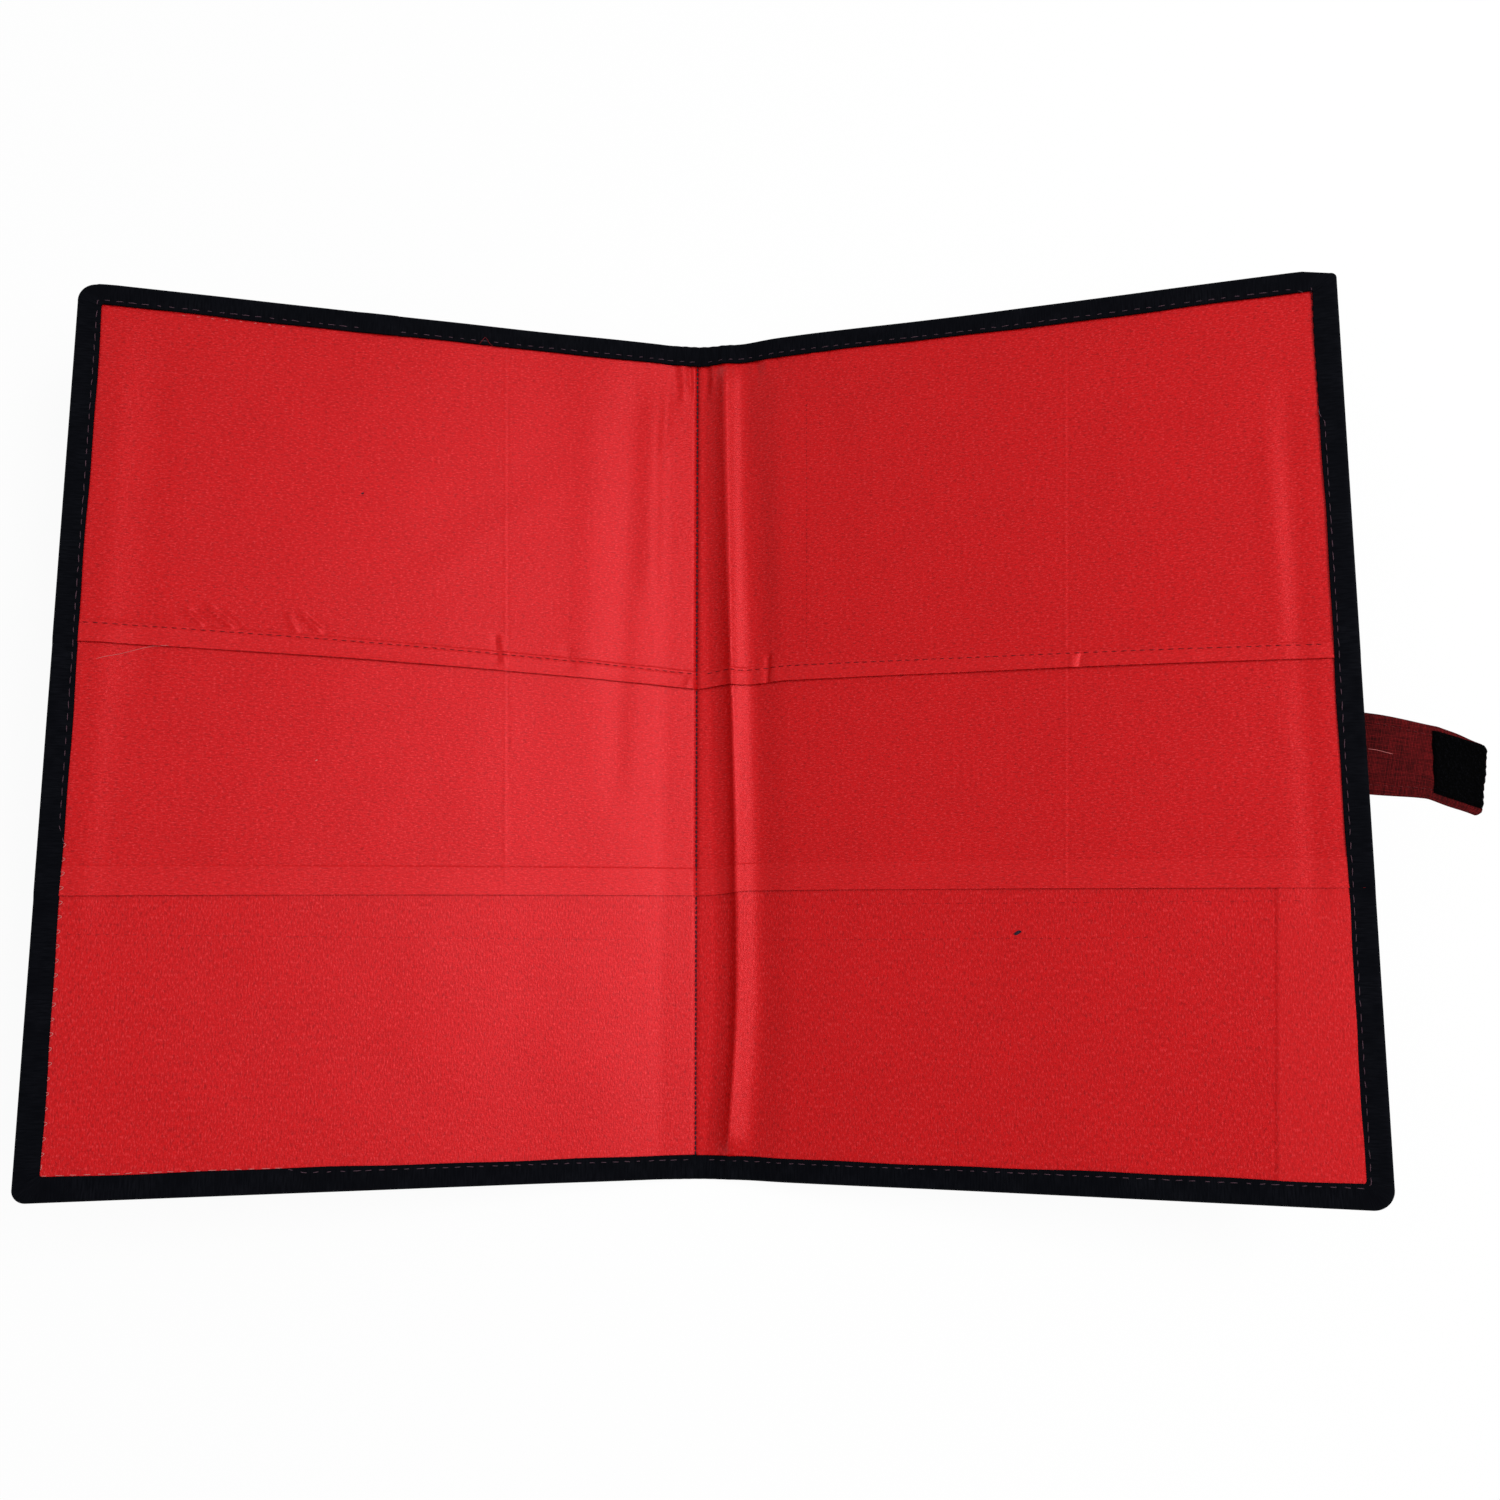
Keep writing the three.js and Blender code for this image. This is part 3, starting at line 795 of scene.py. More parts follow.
# Rows of needle marks: from and to, then pitch, length and radius, all in mm
needle_marks = (
    ((47.2, 146), (46.7, 38), 2.0, 1.1, 0.09),
    ((178, -80), (30, -80.6), 3.2, 1.8, 0.06),
    ((-30, -80.4), (-239, -79.2), 3.2, 1.8, 0.06),
    ((60, -66.5), (235, -66.8), 4.4, 2.4, 0.05),
)
hem_pitch, hem_dash, hem_radius, mark_radius = 3.5 * mm, 2.5 * mm, 0.17 * mm, 0.09 * mm
for side in (-1, 1):
    name = side_name[side]
    across = side * np.linspace(2 * mm, fore_edge[side] - 10 * mm, 90)
    hem_line = np.stack([across, short_mouth_at(across) + short_hem_at(across)], axis=-1)
    hem_runs = stitches(hem_line, hem_pitch, hem_dash, hem_radius, on_red)
    row = sew(f"short_hem_stitches_{name}", hem_runs, hem_radius, red_thread)
    bend_with_cover(row)
    runs = []
    for start, end, pitch, dash, radius in needle_marks:
        if start[0] * side > 0:
            runs += stitches([(start[0] * mm, start[1] * mm), (end[0] * mm, end[1] * mm)],
                             pitch * mm, dash * mm, radius * mm, on_red)
    sew(f"needle_marks_{name}", runs, mark_radius, mark_thread, f"{name}_cover")

# Binding tape
# A black cotton tape is folded over every outer edge and stitched through. It turns the corners in
# a small lapped fold, is laid in pleats over the ends of the spine, and laps over itself at the head.
tape_width = 9.3 * mm
tape_ply = 0.45 * mm
corner_lap = 0.22 * mm
end_lap = (128 * mm, 139 * mm, 0.32 * mm)
corner_radius = {(-1, 1): 7.5 * mm, (1, 1): 2.5 * mm, (-1, -1): 5.0 * mm, (1, -1): 7.5 * mm}
corner_dip = {(-1, 1): 0.6 * mm, (1, 1): 2.3 * mm, (-1, -1): 0.0, (1, -1): 0.0}
inner_turn = 0.9 * mm
fold_depth = 1.7 * mm


def stack_top(x, y):
    """The top of the plies that the tape grips at a place near the edge."""
    top = red_height(x, y, 0, 0) + satin_ply
    over_long = smooth((y - long_mouth_at(x) + 1.5 * mm) / (1.8 * mm))
    over_short = smooth((y - short_mouth_at(x) + 1.5 * mm) / (1.8 * mm))
    return top + (0.95 * over_long + 0.95 * over_short) * mm


def tape_path(side):
    """Outer and inner points along one half of the edge, from the head seam to the foot seam."""
    fore = fore_edge[side]
    inner_x = fore - tape_width
    inner_y = folder_half_height - tape_width
    near = np.arange(0, 22, 0.8) * mm

    def end_strip(sign, radius):
        far = np.arange(24 * mm, fore - radius - 2 * mm, 4 * mm)
        lap = np.array([127.7, 128.0, 128.3]) * mm if (side, sign) == (-1, 1) else np.array([])
        run = []
        for place in np.sort(np.concatenate([near, far, lap, [fore - radius]])):
            held = min(place, inner_x - inner_turn)
            thick = corner_lap
            if len(lap):
                past = (place - end_lap[0]) / (0.4 * mm)
                thick += end_lap[2] * smooth(past) * (1 - smooth((place - end_lap[1]) / (4 * mm)))
            dip = corner_dip[(side, sign)] * smooth((place - fore + 14 * mm) / (13 * mm))
            run.append((place, sign * (folder_half_height - dip), held, sign * inner_y, thick))
        for step in range(1, 13):
            angle = math.pi / 2 * step / 12
            dip = corner_dip[(side, sign)] * (1 - 0.25 * step / 12)
            run.append((
                fore - radius + radius * math.sin(angle),
                sign * (folder_half_height - dip - radius + radius * math.cos(angle)),
                inner_x - inner_turn + inner_turn * math.sin(angle),
                sign * (inner_y - inner_turn + inner_turn * math.cos(angle)),
                corner_lap,
            ))
        return run

    head_r, foot_r = corner_radius[(side, 1)], corner_radius[(side, -1)]
    top = folder_half_height - head_r - 0.75 * corner_dip[(side, 1)]
    low = -folder_half_height + foot_r
    even_steps = np.arange(top - 3 * mm, low + 1 * mm, -3 * mm)
    down = np.concatenate([[top - 0.35 * mm], even_steps, [low + 0.35 * mm]])
    strip = [(fore, y, inner_x, max(min(y, inner_y - inner_turn), inner_turn - inner_y), 0) for y in down]
    stations = np.array(end_strip(1, head_r) + strip + end_strip(-1, foot_r)[::-1])
    return stations * np.array([side, 1, side, 1, 1])


def spine_pleats(x, y):
    """Small pleats of the tape over the ends of the spine."""
    held = 1 - smooth((np.abs(x - 2 * mm) - 8 * mm) / (9 * mm))
    at_end = smooth((np.abs(y) - 160 * mm) / (4 * mm))
    return 0.26 * mm * np.sin(x / (0.62 * mm)) * held * at_end


def tape_waver(run):
    """The tape shows a little more or less of itself along the edge."""
    return 1 + 0.02 * np.sin(run / (21 * mm)) + 0.012 * np.sin(run / (7.5 * mm) + 2)


def tape_surface(side, skin):
    """Rows of points round the tape's fold, skin inside its outer face, with their flat cut."""
    stations = tape_path(side)
    run = np.concatenate([[0], np.cumsum(np.hypot(*np.diff(stations[:, :2], axis=0).T))])
    leaf = np.array([1.0, 0.985, 0.9, 0.78, 0.62, 0.45, 0.3, 0.2])
    round_steps = np.linspace(0, math.pi, 13)[1:-1]
    rows, cuts = [], []
    for place, (ox, oy, ix, iy, thick) in enumerate(stations):
        reach = math.hypot(ix - ox, iy - oy)
        ux, uy = (ix - ox) / reach, (iy - oy) / reach
        across = leaf * reach * tape_waver(run[place])
        px, py = ox + ux * across, oy + uy * across
        lip = np.where(leaf > 0.99, -0.3 * mm, 0)
        puff = 0.1 * mm * math.sin(run[place] / (3.1 * mm)) * np.clip(1 - np.abs(leaf - 0.85) * 3, 0, 1)
        top = stack_top(px, py) + tape_ply + 0.05 * mm + thick + lip + puff + spine_pleats(px, py) - skin
        rim = top[-1] + skin
        fold = fold_depth * (1 - np.sin(round_steps)) + skin * np.sin(round_steps)
        d = np.concatenate([across, fold, across[::-1]])
        h = np.concatenate([top, rim / 2 + (rim / 2 - skin) * np.cos(round_steps), 0 * across + skin])
        rows.append(np.stack([ox + ux * d, oy + uy * d, h], axis=-1))
        way = np.cumsum(np.concatenate([[0], np.hypot(np.diff(d), np.diff(h))]))
        cuts.append(np.stack([run[place] + 0 * way, way], axis=-1))
    grid = np.array(rows)
    return raised(grid[..., 0], grid[..., 1], grid[..., 2]), np.array(cuts), float(run[-1])


def ribbed_tape(name):
    """Black cotton tape: fine ribs across its width, nearly no gloss, a trace of navy."""
    material, tree, shader, place = new_cloth(name, 0.85, 0.03)
    rib = noise_at(tree, place, 1800, (1, 0.1, 1), 2)
    worn = noise_at(tree, place, 90, (1, 1, 1), 3)
    share = calc(tree, "MULTIPLY", spread(tree, rib, 0.35, 0.65), spread(tree, worn, 0.2, 0.8))
    tree.links.new(shade_between(tree, share, (0.0010, 0.0012, 0.0022), (0.0042, 0.0046, 0.0068)),
                   shader.inputs["Base Color"])
    add_bump(tree, shader, rib, 0.08 * mm)
    return material


black_tape = ribbed_tape("black_tape")
for side in (-1, 1):
    name = side_name[side]
    outside, cut, length = tape_surface(side, 0)
    inside = tape_surface(side, tape_ply)[0]
    tape = thick_mesh(f"binding_{name}", outside, inside, cut, black_tape)
    bend_with_cover(tape)
    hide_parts(f"{name}_binding", "spine_head_binding", "spine_foot_binding")

# Tape stitching
# One row of grey-mauve lockstitch runs round the tape near its inner edge and shows on both faces.
# Low on the left and high on the right it strays off the tape and bites the red cloth beside it.
stitch_pitch = 4.7 * mm
stitch_dash = 2.7 * mm
stitch_radius = 0.15 * mm
stitch_inset = 7.7 * mm
stray_inset = 9.6 * mm
mauve_thread = thread("mauve_thread", (0.02, 0.010, 0.017), (0.105, 0.055, 0.075))
pale_thread = thread("pale_thread", (0.42, 0.09, 0.09), (0.68, 0.24, 0.23))
wine_thread = thread("wine_thread", (0.05, 0.004, 0.008), (0.13, 0.008, 0.014))


def inset_at(side, x, y):
    """How far the stitching lies from the outer edge."""
    if side < 0:
        stray = smooth((-41 * mm - y) / (4 * mm)) * smooth((-x - 150 * mm) / (8 * mm))
    else:
        stray = smooth((y - 113 * mm) / (4 * mm)) * smooth((x - 240 * mm) / (4 * mm))
    return stitch_inset + (stray_inset - stitch_inset) * stray


def stitch_line(side):
    """The path of the tape's stitching round one half, with square corners."""
    fore = fore_edge[side]
    line = []
    for x in np.arange(1 * mm, fore - stitch_inset, 3 * mm):
        line.append((side * x, folder_half_height - inset_at(side, side * x, folder_half_height)))
    for y in np.arange(folder_half_height - stitch_inset, -folder_half_height + stitch_inset, -3 * mm):
        line.append((side * (fore - inset_at(side, side * fore, y)), y))
    for x in np.arange(fore - stray_inset, 0, -3 * mm):
        line.append((side * x, -folder_half_height + inset_at(side, side * x, -folder_half_height)))
    return np.array(line)


def off_tape(x, y):
    """True where a place lies on the red cloth instead of on the tape."""
    return from_edge(x, y) > tape_width + 0.2 * mm


def on_tape(x, y, arch):
    """Lays a stitch on the tape, or on the red cloth where it has strayed."""
    tape = stack_top(x, y) + tape_ply + 0.2 * mm + spine_pleats(x, y)
    return x, y, np.where(off_tape(x, y), red_top_any(x, y), tape) + arch


def hooked(line, pitch):
    """Small loose loops of thread along a line, each bulging from the tape onto the red cloth."""
    line = np.array(line) * mm
    reach = math.hypot(*(line[1] - line[0]))
    ahead = (line[1] - line[0]) / reach
    runs = []
    for start in np.arange(0.4 * pitch, reach, pitch):
        t = np.linspace(-1, 1, 7)
        bulge = (1.5 * mm + 0.3 * mm * chance.uniform(-1, 1)) * (1 - t * t) - 0.5 * mm
        along_line = start + (0.85 * mm + 0.15 * mm * chance.uniform(-1, 1)) * t + 0.3 * bulge
        x = line[0, 0] + ahead[0] * along_line + ahead[1] * bulge
        y = line[0, 1] + ahead[1] * along_line - ahead[0] * bulge
        runs.append(np.stack([x, y, red_top_any(x, y) + 0.2 * mm + 0.15 * mm * (1 - t * t)], axis=-1))
    return runs


for side in (-1, 1):
    name = side_name[side]
    line = stitch_line(side)
    runs = stitches(line, stitch_pitch, stitch_dash, stitch_radius, on_tape, 0.25)
    outer_runs = stitches(
        line + 0.2 * mm, stitch_pitch, stitch_dash, stitch_radius,
        lambda x, y, arch: (x, y, 0.12 * mm - 0.6 * arch), 0.2,
    )
    held_runs = [run for run in runs if not off_tape(run[2][0], run[2][1])]
    stray_runs = [run for run in runs if off_tape(run[2][0], run[2][1])]
    row = sew(f"tape_stitches_{name}", held_runs + outer_runs, stitch_radius, mauve_thread)
    bend_with_cover(row)
    if side < 0:
        foot_runs = [run for run in stray_runs if run[2][1] < -160 * mm]
        inner = fore_edge[-1] - 9.4 * mm
        loops = hooked([(-inner / mm, -160), (-inner / mm, -42)], 5.3 * mm)
        head_line = [(-213 * mm, 164.9 * mm), (-168 * mm, 164.9 * mm)]
        head_marks = stitches(head_line, 5.4 * mm, 1.2 * mm, 0.1 * mm, on_tape)
        stray_runs = foot_runs + loops + head_marks
        sew("stray_stitches_left", stray_runs, 0.12 * mm, pale_thread, "left_cover")
    else:
        sew("stray_stitches_right", stray_runs, 0.15 * mm, wine_thread, "right_cover")

# Strap
# A band of the outer cloth, doubled and hemmed, is sewn behind the right cover and reaches past
# its fore edge. It bends down a little, turns towards the foot and hangs lower on that side.
strap_root_y = -13 * mm
strap_skew = math.radians(10.5)
strap_droop = math.radians(16)
strap_bend_start = 3 * mm
strap_free = 42 * mm
strap_sewn = 58 * mm
strap_half = 15 * mm
strap_top = -0.35 * mm
strap_bottom = -1.6 * mm
strap_dive = 3.4 * mm


def strap_half_at(along):
    """Half the strap's width, which narrows a little past the fore edge."""
    narrowing = 1.7 * mm * smooth(along / (26 * mm))
    return strap_half - narrowing - 0.6 * mm * smooth((along - 28 * mm) / (12 * mm))


def strap_place(along, across, height):
    """From a place on the flat strap to the flat folder: bent down, drifting and turned by its skew."""
    radius = (strap_free - strap_bend_start) / strap_droop
    angle = np.maximum(along - strap_bend_start, 0) / radius
    out = np.minimum(along, strap_bend_start) + (radius + height) * np.sin(angle)
    up = (radius + height) * np.cos(angle) - radius
    half = strap_half_at(along)
    up = up - strap_dive * smooth((along - 16 * mm) / (26 * mm)) * (0.5 - across / (2 * half))
    up = up - 0.35 * mm * np.sin(across / (4.2 * mm)) * smooth((along - 4 * mm) / (12 * mm))
    drift = across - 0.2 * np.maximum(along - 23 * mm, 0)
    x = fore_edge[1] + out * math.cos(strap_skew) + drift * math.sin(strap_skew)
    y = strap_root_y - out * math.sin(strap_skew) + drift * math.cos(strap_skew)
    return x, y, up


def strap_warp(along, across):
    """Skews the strap's end, rounds its corners and frays it a little."""
    half = strap_half_at(along)
    over = np.clip(np.abs(across) - (half - 3.4 * mm), 0, 3.39 * mm)
    rounding = 3.4 * mm - np.sqrt((3.4 * mm) ** 2 - over ** 2)
    ragged = 0.16 * mm * np.sin(across / (1.7 * mm)) + 0.16 * mm * np.sin(across / (0.43 * mm) + 1)
    near_end = smooth((along - 28 * mm) / (14 * mm))
    return along + near_end * (-0.06 * across - 0.7 * rounding + ragged)


along = np.concatenate([np.linspace(-strap_sewn, 0, 16)[:-1], np.linspace(0, strap_free, 46)])[:, None]
edge_share = np.array([0, 0.012, 0.035, 0.07, 0.11, 0.135, 0.16, 0.2])
share = np.concatenate([edge_share, np.linspace(0.25, 0.75, 15), 1 - edge_share[::-1]])[None, :]
across = (2 * share - 1) * strap_half_at(along)
inside_edge = np.minimum(share, 1 - share) * 2 * strap_half
roll = 0.55 * mm * (1 - smooth(inside_edge / (1.1 * mm)))
hem_groove = 0.22 * mm * np.exp(-(((inside_edge - 4.0 * mm) / (0.7 * mm)) ** 2))
warped = strap_warp(along, across)
top_x, top_y, top_h = strap_place(warped, across, strap_top - roll - hem_groove)
low_x, low_y, low_h = strap_place(warped, across, strap_bottom + roll + hem_groove * 0.6)
strap_cloth = jute_cloth("strap_jute", 0.5 * mm, (0.016, 0.0012, 0.0016), (0.20, 0.0085, 0.0100))
strap_cut = cut_of(along + 0 * across, across)
strap = thick_mesh("strap_band", raised(top_x, top_y, top_h), raised(low_x, low_y, low_h),
                   strap_cut, strap_cloth)
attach(strap, "right_cover")
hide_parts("strap")


def on_strap(face):
    """Places stitches on one face of the strap: 1 is the inside of the folder and -1 the outside."""
    level = strap_top if face > 0 else strap_bottom
    return lambda u, v, arch: strap_place(u, v, level + face * (arch - 0.04 * mm))


def frame_line(low_u, high_u, low_v, high_v):
    """A closed rectangle for a row of stitches."""
    return [(low_u, low_v), (high_u, low_v), (high_u, high_v), (low_u, high_v), (low_u, low_v)]


strap_thread = thread("strap_thread", (0.05, 0.003, 0.005), (0.13, 0.008, 0.01))
hem_start, hem_stop = 1 * mm, strap_free - 4 * mm
strap_runs = []
for face in (1, -1):
    for way in (-1, 1):
        hem_u = np.linspace(hem_start if face > 0 else -strap_sewn + 3 * mm, hem_stop, 20)
        hem_v = way * (strap_half_at(hem_u) - 3.6 * mm)
        hem_line = np.stack([hem_u, hem_v], axis=-1)
        strap_runs += stitches(hem_line, 2.6 * mm, 1.7 * mm, 0.14 * mm, on_strap(face))
box = frame_line(-54 * mm, -9 * mm, -10 * mm, 10 * mm)
for box_line in (box, [box[0], box[2]], [box[1], box[3]]):
    strap_runs += stitches(box_line, 2.8 * mm, 1.9 * mm, 0.15 * mm, on_strap(-1))
sew("strap_stitches", strap_runs, 0.14 * mm, strap_thread, "right_cover")

# Touch fastener
# A black hook patch is sewn on the strap's tip, facing the inside, and a longer loop patch on the
# outside of the left cover. The hooks make a dull bristly pile, and the loops a softer one.
patch_start = 23 * mm
patch_thickness = 1.05 * mm
patch_tape = 0.25 * mm


def pile(name, scale, depth, dark, light):
    """Black nylon pile that swallows light, with single bristles painted lighter as painted highlights of
    the light they catch.
    """
    material, tree, shader, place = new_cloth(name, 0.9, 0.02)
    cells = tell(tree, "ShaderNodeTexVoronoi", feature="F1")
    cells.inputs["Scale"].default_value = scale
    tree.links.new(place, cells.inputs["Vector"])
    fibre = noise_at(tree, place, scale * 0.6, (1, 1, 1), 3)
    height = calc(tree, "SUBTRACT", fibre, cells.outputs["Distance"])
    # Higher pile gets the lighter colour: a painted highlight on the bristle tips.
    colour = shade_between(tree, spread(tree, height, 0.0, 0.6), dark, light)
    tree.links.new(colour, shader.inputs["Base Color"])
    add_bump(tree, shader, height, depth)
    return material


def rough_pile(a, b):
    """The pile's uneven surface."""
    tufts = np.sin(a / (0.71 * mm)) * np.sin(b / (0.83 * mm))
    return 0.1 * mm * (tufts + 0.6 * np.sin(a / (0.37 * mm) + b / (0.5 * mm)))


def pile_rise(u, v):
    """0 at a patch's bare rim and 1 inside it, where the pile stands up."""
    rim = np.minimum(np.minimum(u, 1 - u), np.minimum(v, 1 - v))
    return smooth(rim / 0.05)


hook_pile = pile("hook_pile", 1400, 0.35 * mm, (0.0002, 0.0002, 0.0003), (0.0026, 0.0026, 0.0034))
u_share = np.linspace(0, 1, 44)[:, None]
v_share = np.linspace(0, 1, 44)[None, :]
hook_low = -strap_half_at(strap_free) + (2.1 + 0.9 * u_share) * mm
hook_high = strap_half_at(strap_free) - (1.2 - 0.9 * u_share) * mm
hook_across = hook_low + (hook_high - hook_low) * v_share
hook_first = patch_start - 0.165 * hook_across + 0.15 * mm * np.sin(hook_across / (1.3 * mm))
hook_last = strap_warp(strap_free + 0 * hook_across, hook_across) - 0.2 * mm
hook_along = hook_first + (hook_last - hook_first) * u_share
hook_rise = pile_rise(u_share, v_share)
hook_pile_height = patch_thickness - patch_tape + rough_pile(hook_along, hook_across)
hook_top = strap_top + patch_tape + hook_pile_height * hook_rise
hx, hy, hh = strap_place(hook_along, hook_across, hook_top)
bx, by, bh = strap_place(hook_along, hook_across, strap_top + 0.02 * mm + 0 * hook_top)
hook = thick_mesh("hook_pad", raised(hx, hy, hh), raised(bx, by, bh),
                  cut_of(hook_along, hook_across), hook_pile)
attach(hook, "right_cover")
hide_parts("hook_patch")

loop_length, loop_width, loop_inset = 50 * mm, 30 * mm, 14 * mm
loop_middle = strap_root_y - math.tan(strap_skew) * 39.5 * mm
loop_pile = pile("loop_pile", 900, 0.3 * mm, (0.0008, 0.0008, 0.001), (0.009, 0.009, 0.0105))
loop_u, loop_v = np.broadcast_arrays(np.linspace(0, 1, 60)[None, :], np.linspace(0, 1, 40)[:, None])
loop_x = -(fore_edge[-1] - loop_inset) + loop_length * loop_u
loop_y = loop_middle + loop_width * (loop_v - 0.5)
loop_face = -0.35 * mm - (0.9 * mm - rough_pile(loop_x, loop_y)) * pile_rise(loop_u, loop_v)
loop_back = 0 * loop_x - 0.02 * mm
loop = thick_mesh("loop_pad", raised(loop_x, loop_y, loop_back), raised(loop_x, loop_y, loop_face),
                  cut_of(loop_x, loop_y), loop_pile)
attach(loop, "left_cover")
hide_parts("loop_patch")


black_thread = thread("black_thread", (0.002, 0.002, 0.003), (0.02, 0.02, 0.024))
loop_edges = frame_line(float(loop_x.min()) + 2 * mm, float(loop_x.max()) - 2 * mm,
                        float(loop_y.min()) + 2 * mm, float(loop_y.max()) - 2 * mm)
loop_runs = stitches(
    loop_edges, 2.8 * mm, 1.9 * mm, 0.16 * mm, lambda x, y, arch: (x, y, -1.22 * mm - arch)
)
sew("loop_stitches", loop_runs, 0.16 * mm, black_thread, "left_cover")

# Loose threads and specks
# A few thread ends were never trimmed: a long pale one on the left pocket, a red one at the tape
# and a white one on the strap. A dark knot and two specks are caught in the weave.


def loose(points, radius, lift, wander=0.25):
    """One run of points for a thread end that lies on the cloth, smoothed through a few places."""
    spots = np.array(points, float) * mm
    reach = np.concatenate([[0], np.cumsum(np.hypot(*np.diff(spots, axis=0).T))])
    s = np.linspace(0, reach[-1], max(12, int(reach[-1] / (0.8 * mm))))
    x = np.interp(s, reach, spots[:, 0]) + wander * mm * np.sin(s / (3.7 * mm))
    y = np.interp(s, reach, spots[:, 1]) + wander * mm * np.sin(s / (2.9 * mm) + 1)
    return np.stack([x, y, red_top_any(x, y) + radius + lift * mm * np.sin(s / (5 * mm)) ** 2], axis=-1)


pale_places = [(-233.9, 24.2), (-228.8, 26.0), (-221.9, 28.4), (-214.3, 30.2), (-208.6, 30.9)]
pale_end = loose(pale_places, 0.07 * mm, 0.1)
sew("pale_thread_end", [pale_end], 0.08 * mm, pale_thread, "left_cover")
tape_end = loose([(-95, 165.6), (-93, 169), (-91, 166.4), (-89, 165.2)], 0.09 * mm, 0.0)
tape_end[:, 2] = stack_top(tape_end[:, 0], tape_end[:, 1]) + 0.75 * mm
sew("red_thread_end", [tape_end], 0.1 * mm, red_thread, "left_cover")
strap_u = np.linspace(0.5 * mm, 9 * mm, 14)
strap_v = 1.6 * mm - 0.05 * strap_u + 0.2 * mm * np.sin(strap_u / (2 * mm))
white_end = np.stack(strap_place(strap_u, strap_v, strap_top + 0.12 * mm), axis=-1)
sew("white_thread_end", [white_end], 0.09 * mm, pale_thread, "right_cover")


def knot(place, size, turns):
    """A little snarl of thread: a loop that crosses itself a few times."""
    t = np.linspace(0, turns * 2 * math.pi, 12 * turns)
    x = place[0] * mm + size * np.cos(t) * (1 + 0.4 * np.sin(2.3 * t))
    y = place[1] * mm + 0.7 * size * np.sin(t * 1.07 + 0.4)
    return np.stack([x, y, red_top_any(x, y) + 0.15 * mm + 0.2 * mm * np.sin(1.9 * t) ** 2], axis=-1)


# Each speck's name, place in mm, size, turns, thread radius, thread and cover
for name, place, size, turns, radius, material, body in (
    ("dark_knot", (128.8, -78), 1.0 * mm, 3, 0.22 * mm, navy_thread, "right_cover"),
    ("dark_speck", (-139.4, 97.5), 0.35 * mm, 2, 0.14 * mm, navy_thread, "left_cover"),
    ("light_speck", (-152.4, -11.6), 0.3 * mm, 2, 0.1 * mm, pale_thread, "left_cover"),
):
    sew(name, [knot(place, size, turns)], radius, material, body)

# Studio
# The folder lies open on a pale table under one soft lamp from the right and a wide one overhead,
# with an even sky for fill. The camera looks almost straight down from before the foot.
scene.view_settings.view_transform = "Standard"
photo_width_px = 1500
focal_length_px = 1397
camera_data = bpy.data.cameras.new("camera")
camera_data.sensor_width = 36
camera_data.lens = camera_data.sensor_width * focal_length_px / photo_width_px
camera_data.clip_start = 0.01
camera = bpy.data.objects.new("camera", camera_data)
camera.rotation_mode = "ZYX"
camera.rotation_euler = (math.radians(8.42), math.radians(1.26), math.radians(-0.13))
camera.location = (33.9 * mm, -87.2 * mm, 577.5 * mm)
scene.collection.objects.link(camera)
scene.camera = camera


def soft_lamp(name, place, width, length, power):
    """A soft box at place, turned to face the folder; its length runs from head to foot."""
    lamp_data = bpy.data.lights.new(name, "AREA")
    lamp_data.shape = "RECTANGLE"
    lamp_data.size = width
    lamp_data.size_y = length
    lamp_data.energy = power
    lamp = bpy.data.objects.new(name, lamp_data)
    lamp.location = place
    way = np.array(place)
    tilt = math.acos(way[2] / np.linalg.norm(way))
    lamp.rotation_euler = (0, tilt, math.atan2(way[1], way[0]))
    scene.collection.objects.link(lamp)


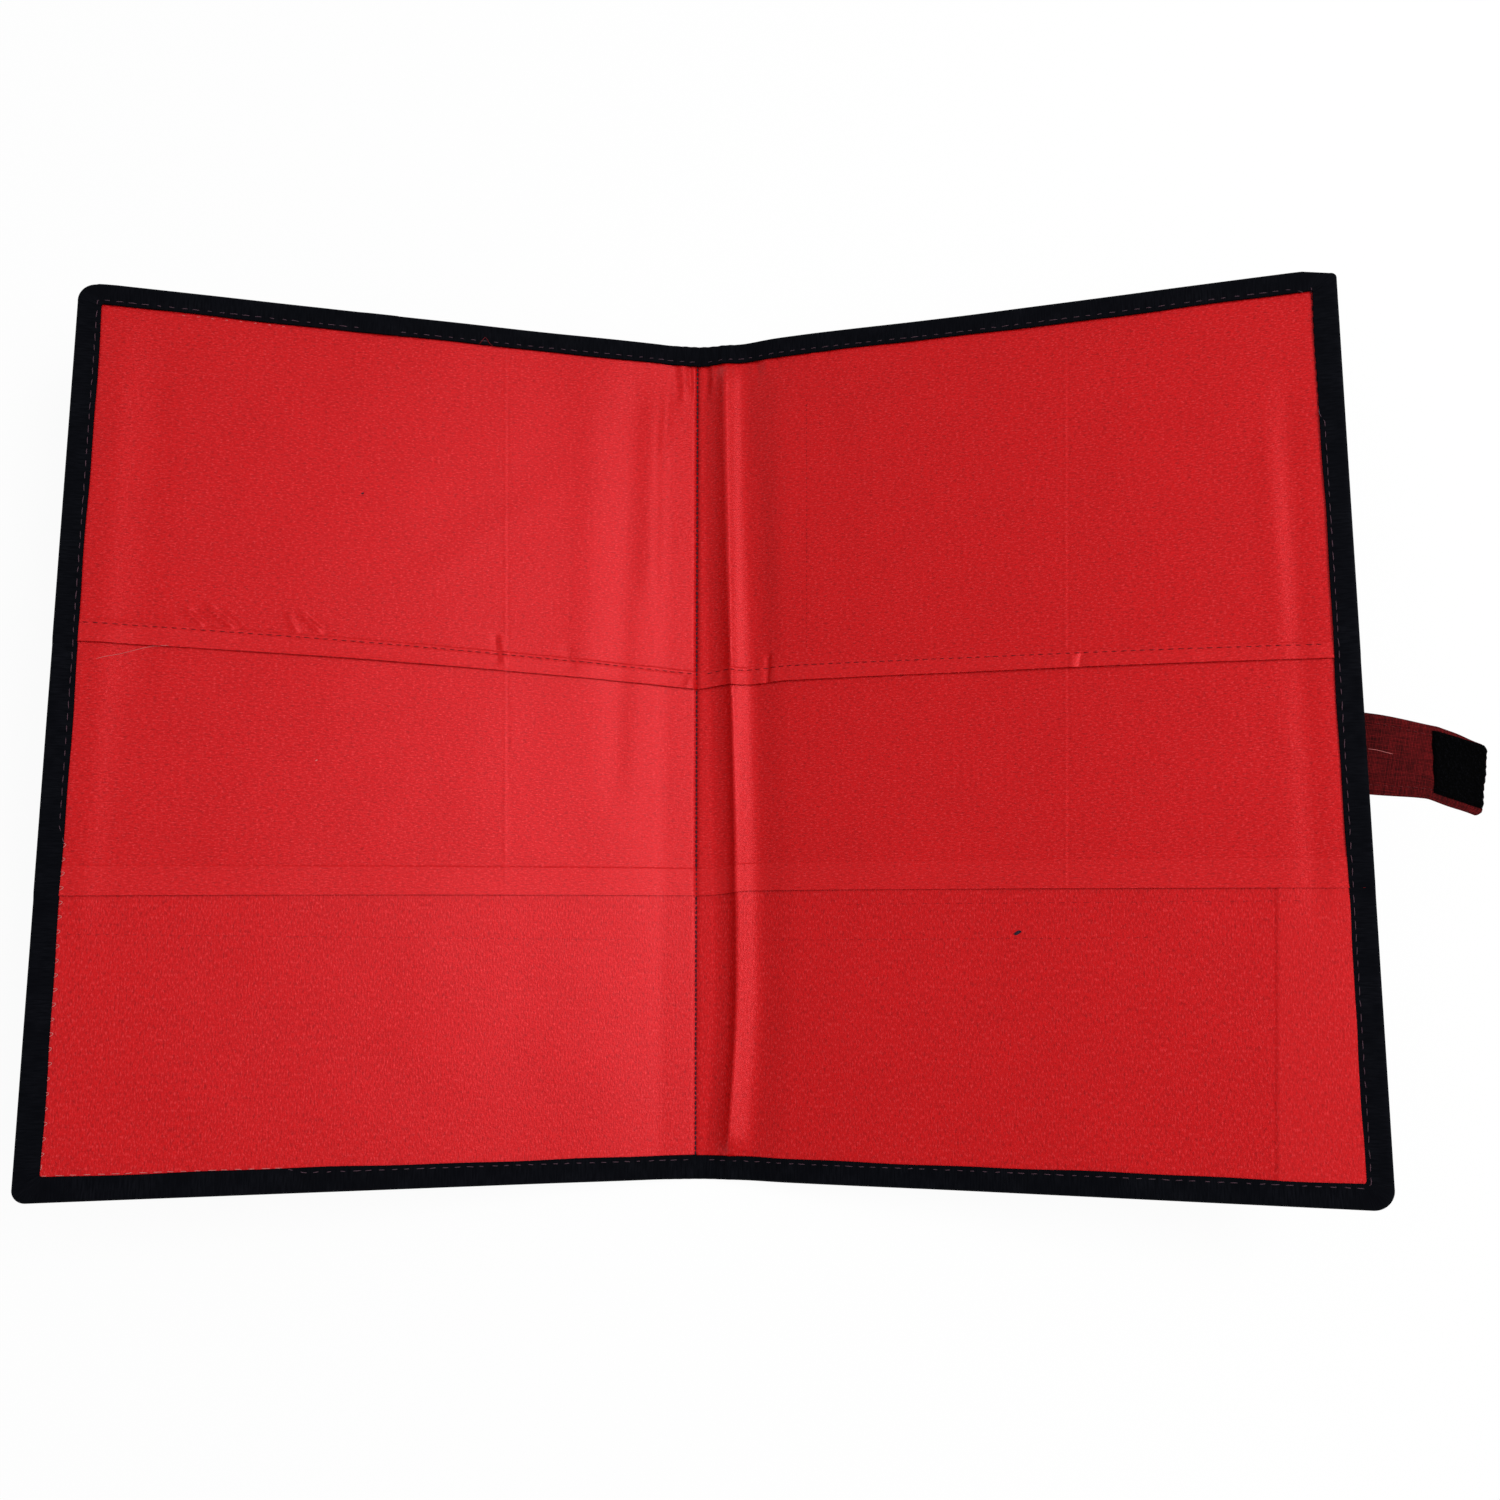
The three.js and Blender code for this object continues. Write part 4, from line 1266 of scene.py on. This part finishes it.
soft_lamp("key_lamp", (0.82, 0.14, 1.36), 0.5, 1.1, 18.3)
soft_lamp("top_lamp", (-0.5, 0.3, 1.9), 1.8, 1.8, 5)


def seen_ray(tree):
    """1 for a ray from the camera, a mirror or a clear thing, and 0 for light that fills the scene."""
    path = tell(tree, "ShaderNodeLightPath")
    seen = calc(tree, "MAXIMUM", path.outputs["Is Camera Ray"], path.outputs["Is Glossy Ray"])
    return calc(tree, "MAXIMUM", seen, path.outputs["Is Transmission Ray"])


sky_fill = 0.4
world = bpy.data.worlds.new("studio_sky")
scene.world = world
world.use_nodes = True
sky = world.node_tree.nodes["Background"]
sky.inputs["Color"].default_value = (1, 1, 1, 1)
sky_level = tell(world.node_tree, "ShaderNodeMapRange")
sky_level.inputs["To Min"].default_value = sky_fill
world.node_tree.links.new(seen_ray(world.node_tree), sky_level.inputs["Value"])
world.node_tree.links.new(sky_level.outputs["Result"], sky.inputs["Strength"])

floor_reach = 4.0
floor_mesh = bpy.data.meshes.new("floor")
corners = [(-floor_reach, -floor_reach, 0), (floor_reach, -floor_reach, 0)]
corners += [(floor_reach, floor_reach, 0), (-floor_reach, floor_reach, 0)]
floor_mesh.from_pydata(corners, [], [(0, 1, 2, 3)])
floor = bpy.data.objects.new("floor", floor_mesh)
scene.collection.objects.link(floor)
floor_paint = bpy.data.materials.new("floor_paint")
floor_paint.use_nodes = True
paint_tree = floor_paint.node_tree
paint = paint_tree.nodes["Principled BSDF"]
paint.inputs["Base Color"].default_value = (0.88, 0.88, 0.88, 1)
paint.inputs["Roughness"].default_value = 0.9
paint.inputs["Specular IOR Level"].default_value = 0.1
glow = tell(paint_tree, "ShaderNodeEmission")
floor_mix = tell(paint_tree, "ShaderNodeMixShader")
glow_share = 0.93
paint_tree.links.new(calc(paint_tree, "MULTIPLY", seen_ray(paint_tree), glow_share), floor_mix.inputs[0])
paint_tree.links.new(paint.outputs[0], floor_mix.inputs[1])
paint_tree.links.new(glow.outputs[0], floor_mix.inputs[2])
paint_tree.links.new(floor_mix.outputs[0], paint_tree.nodes["Material Output"].inputs["Surface"])
floor_mesh.materials.append(floor_paint)
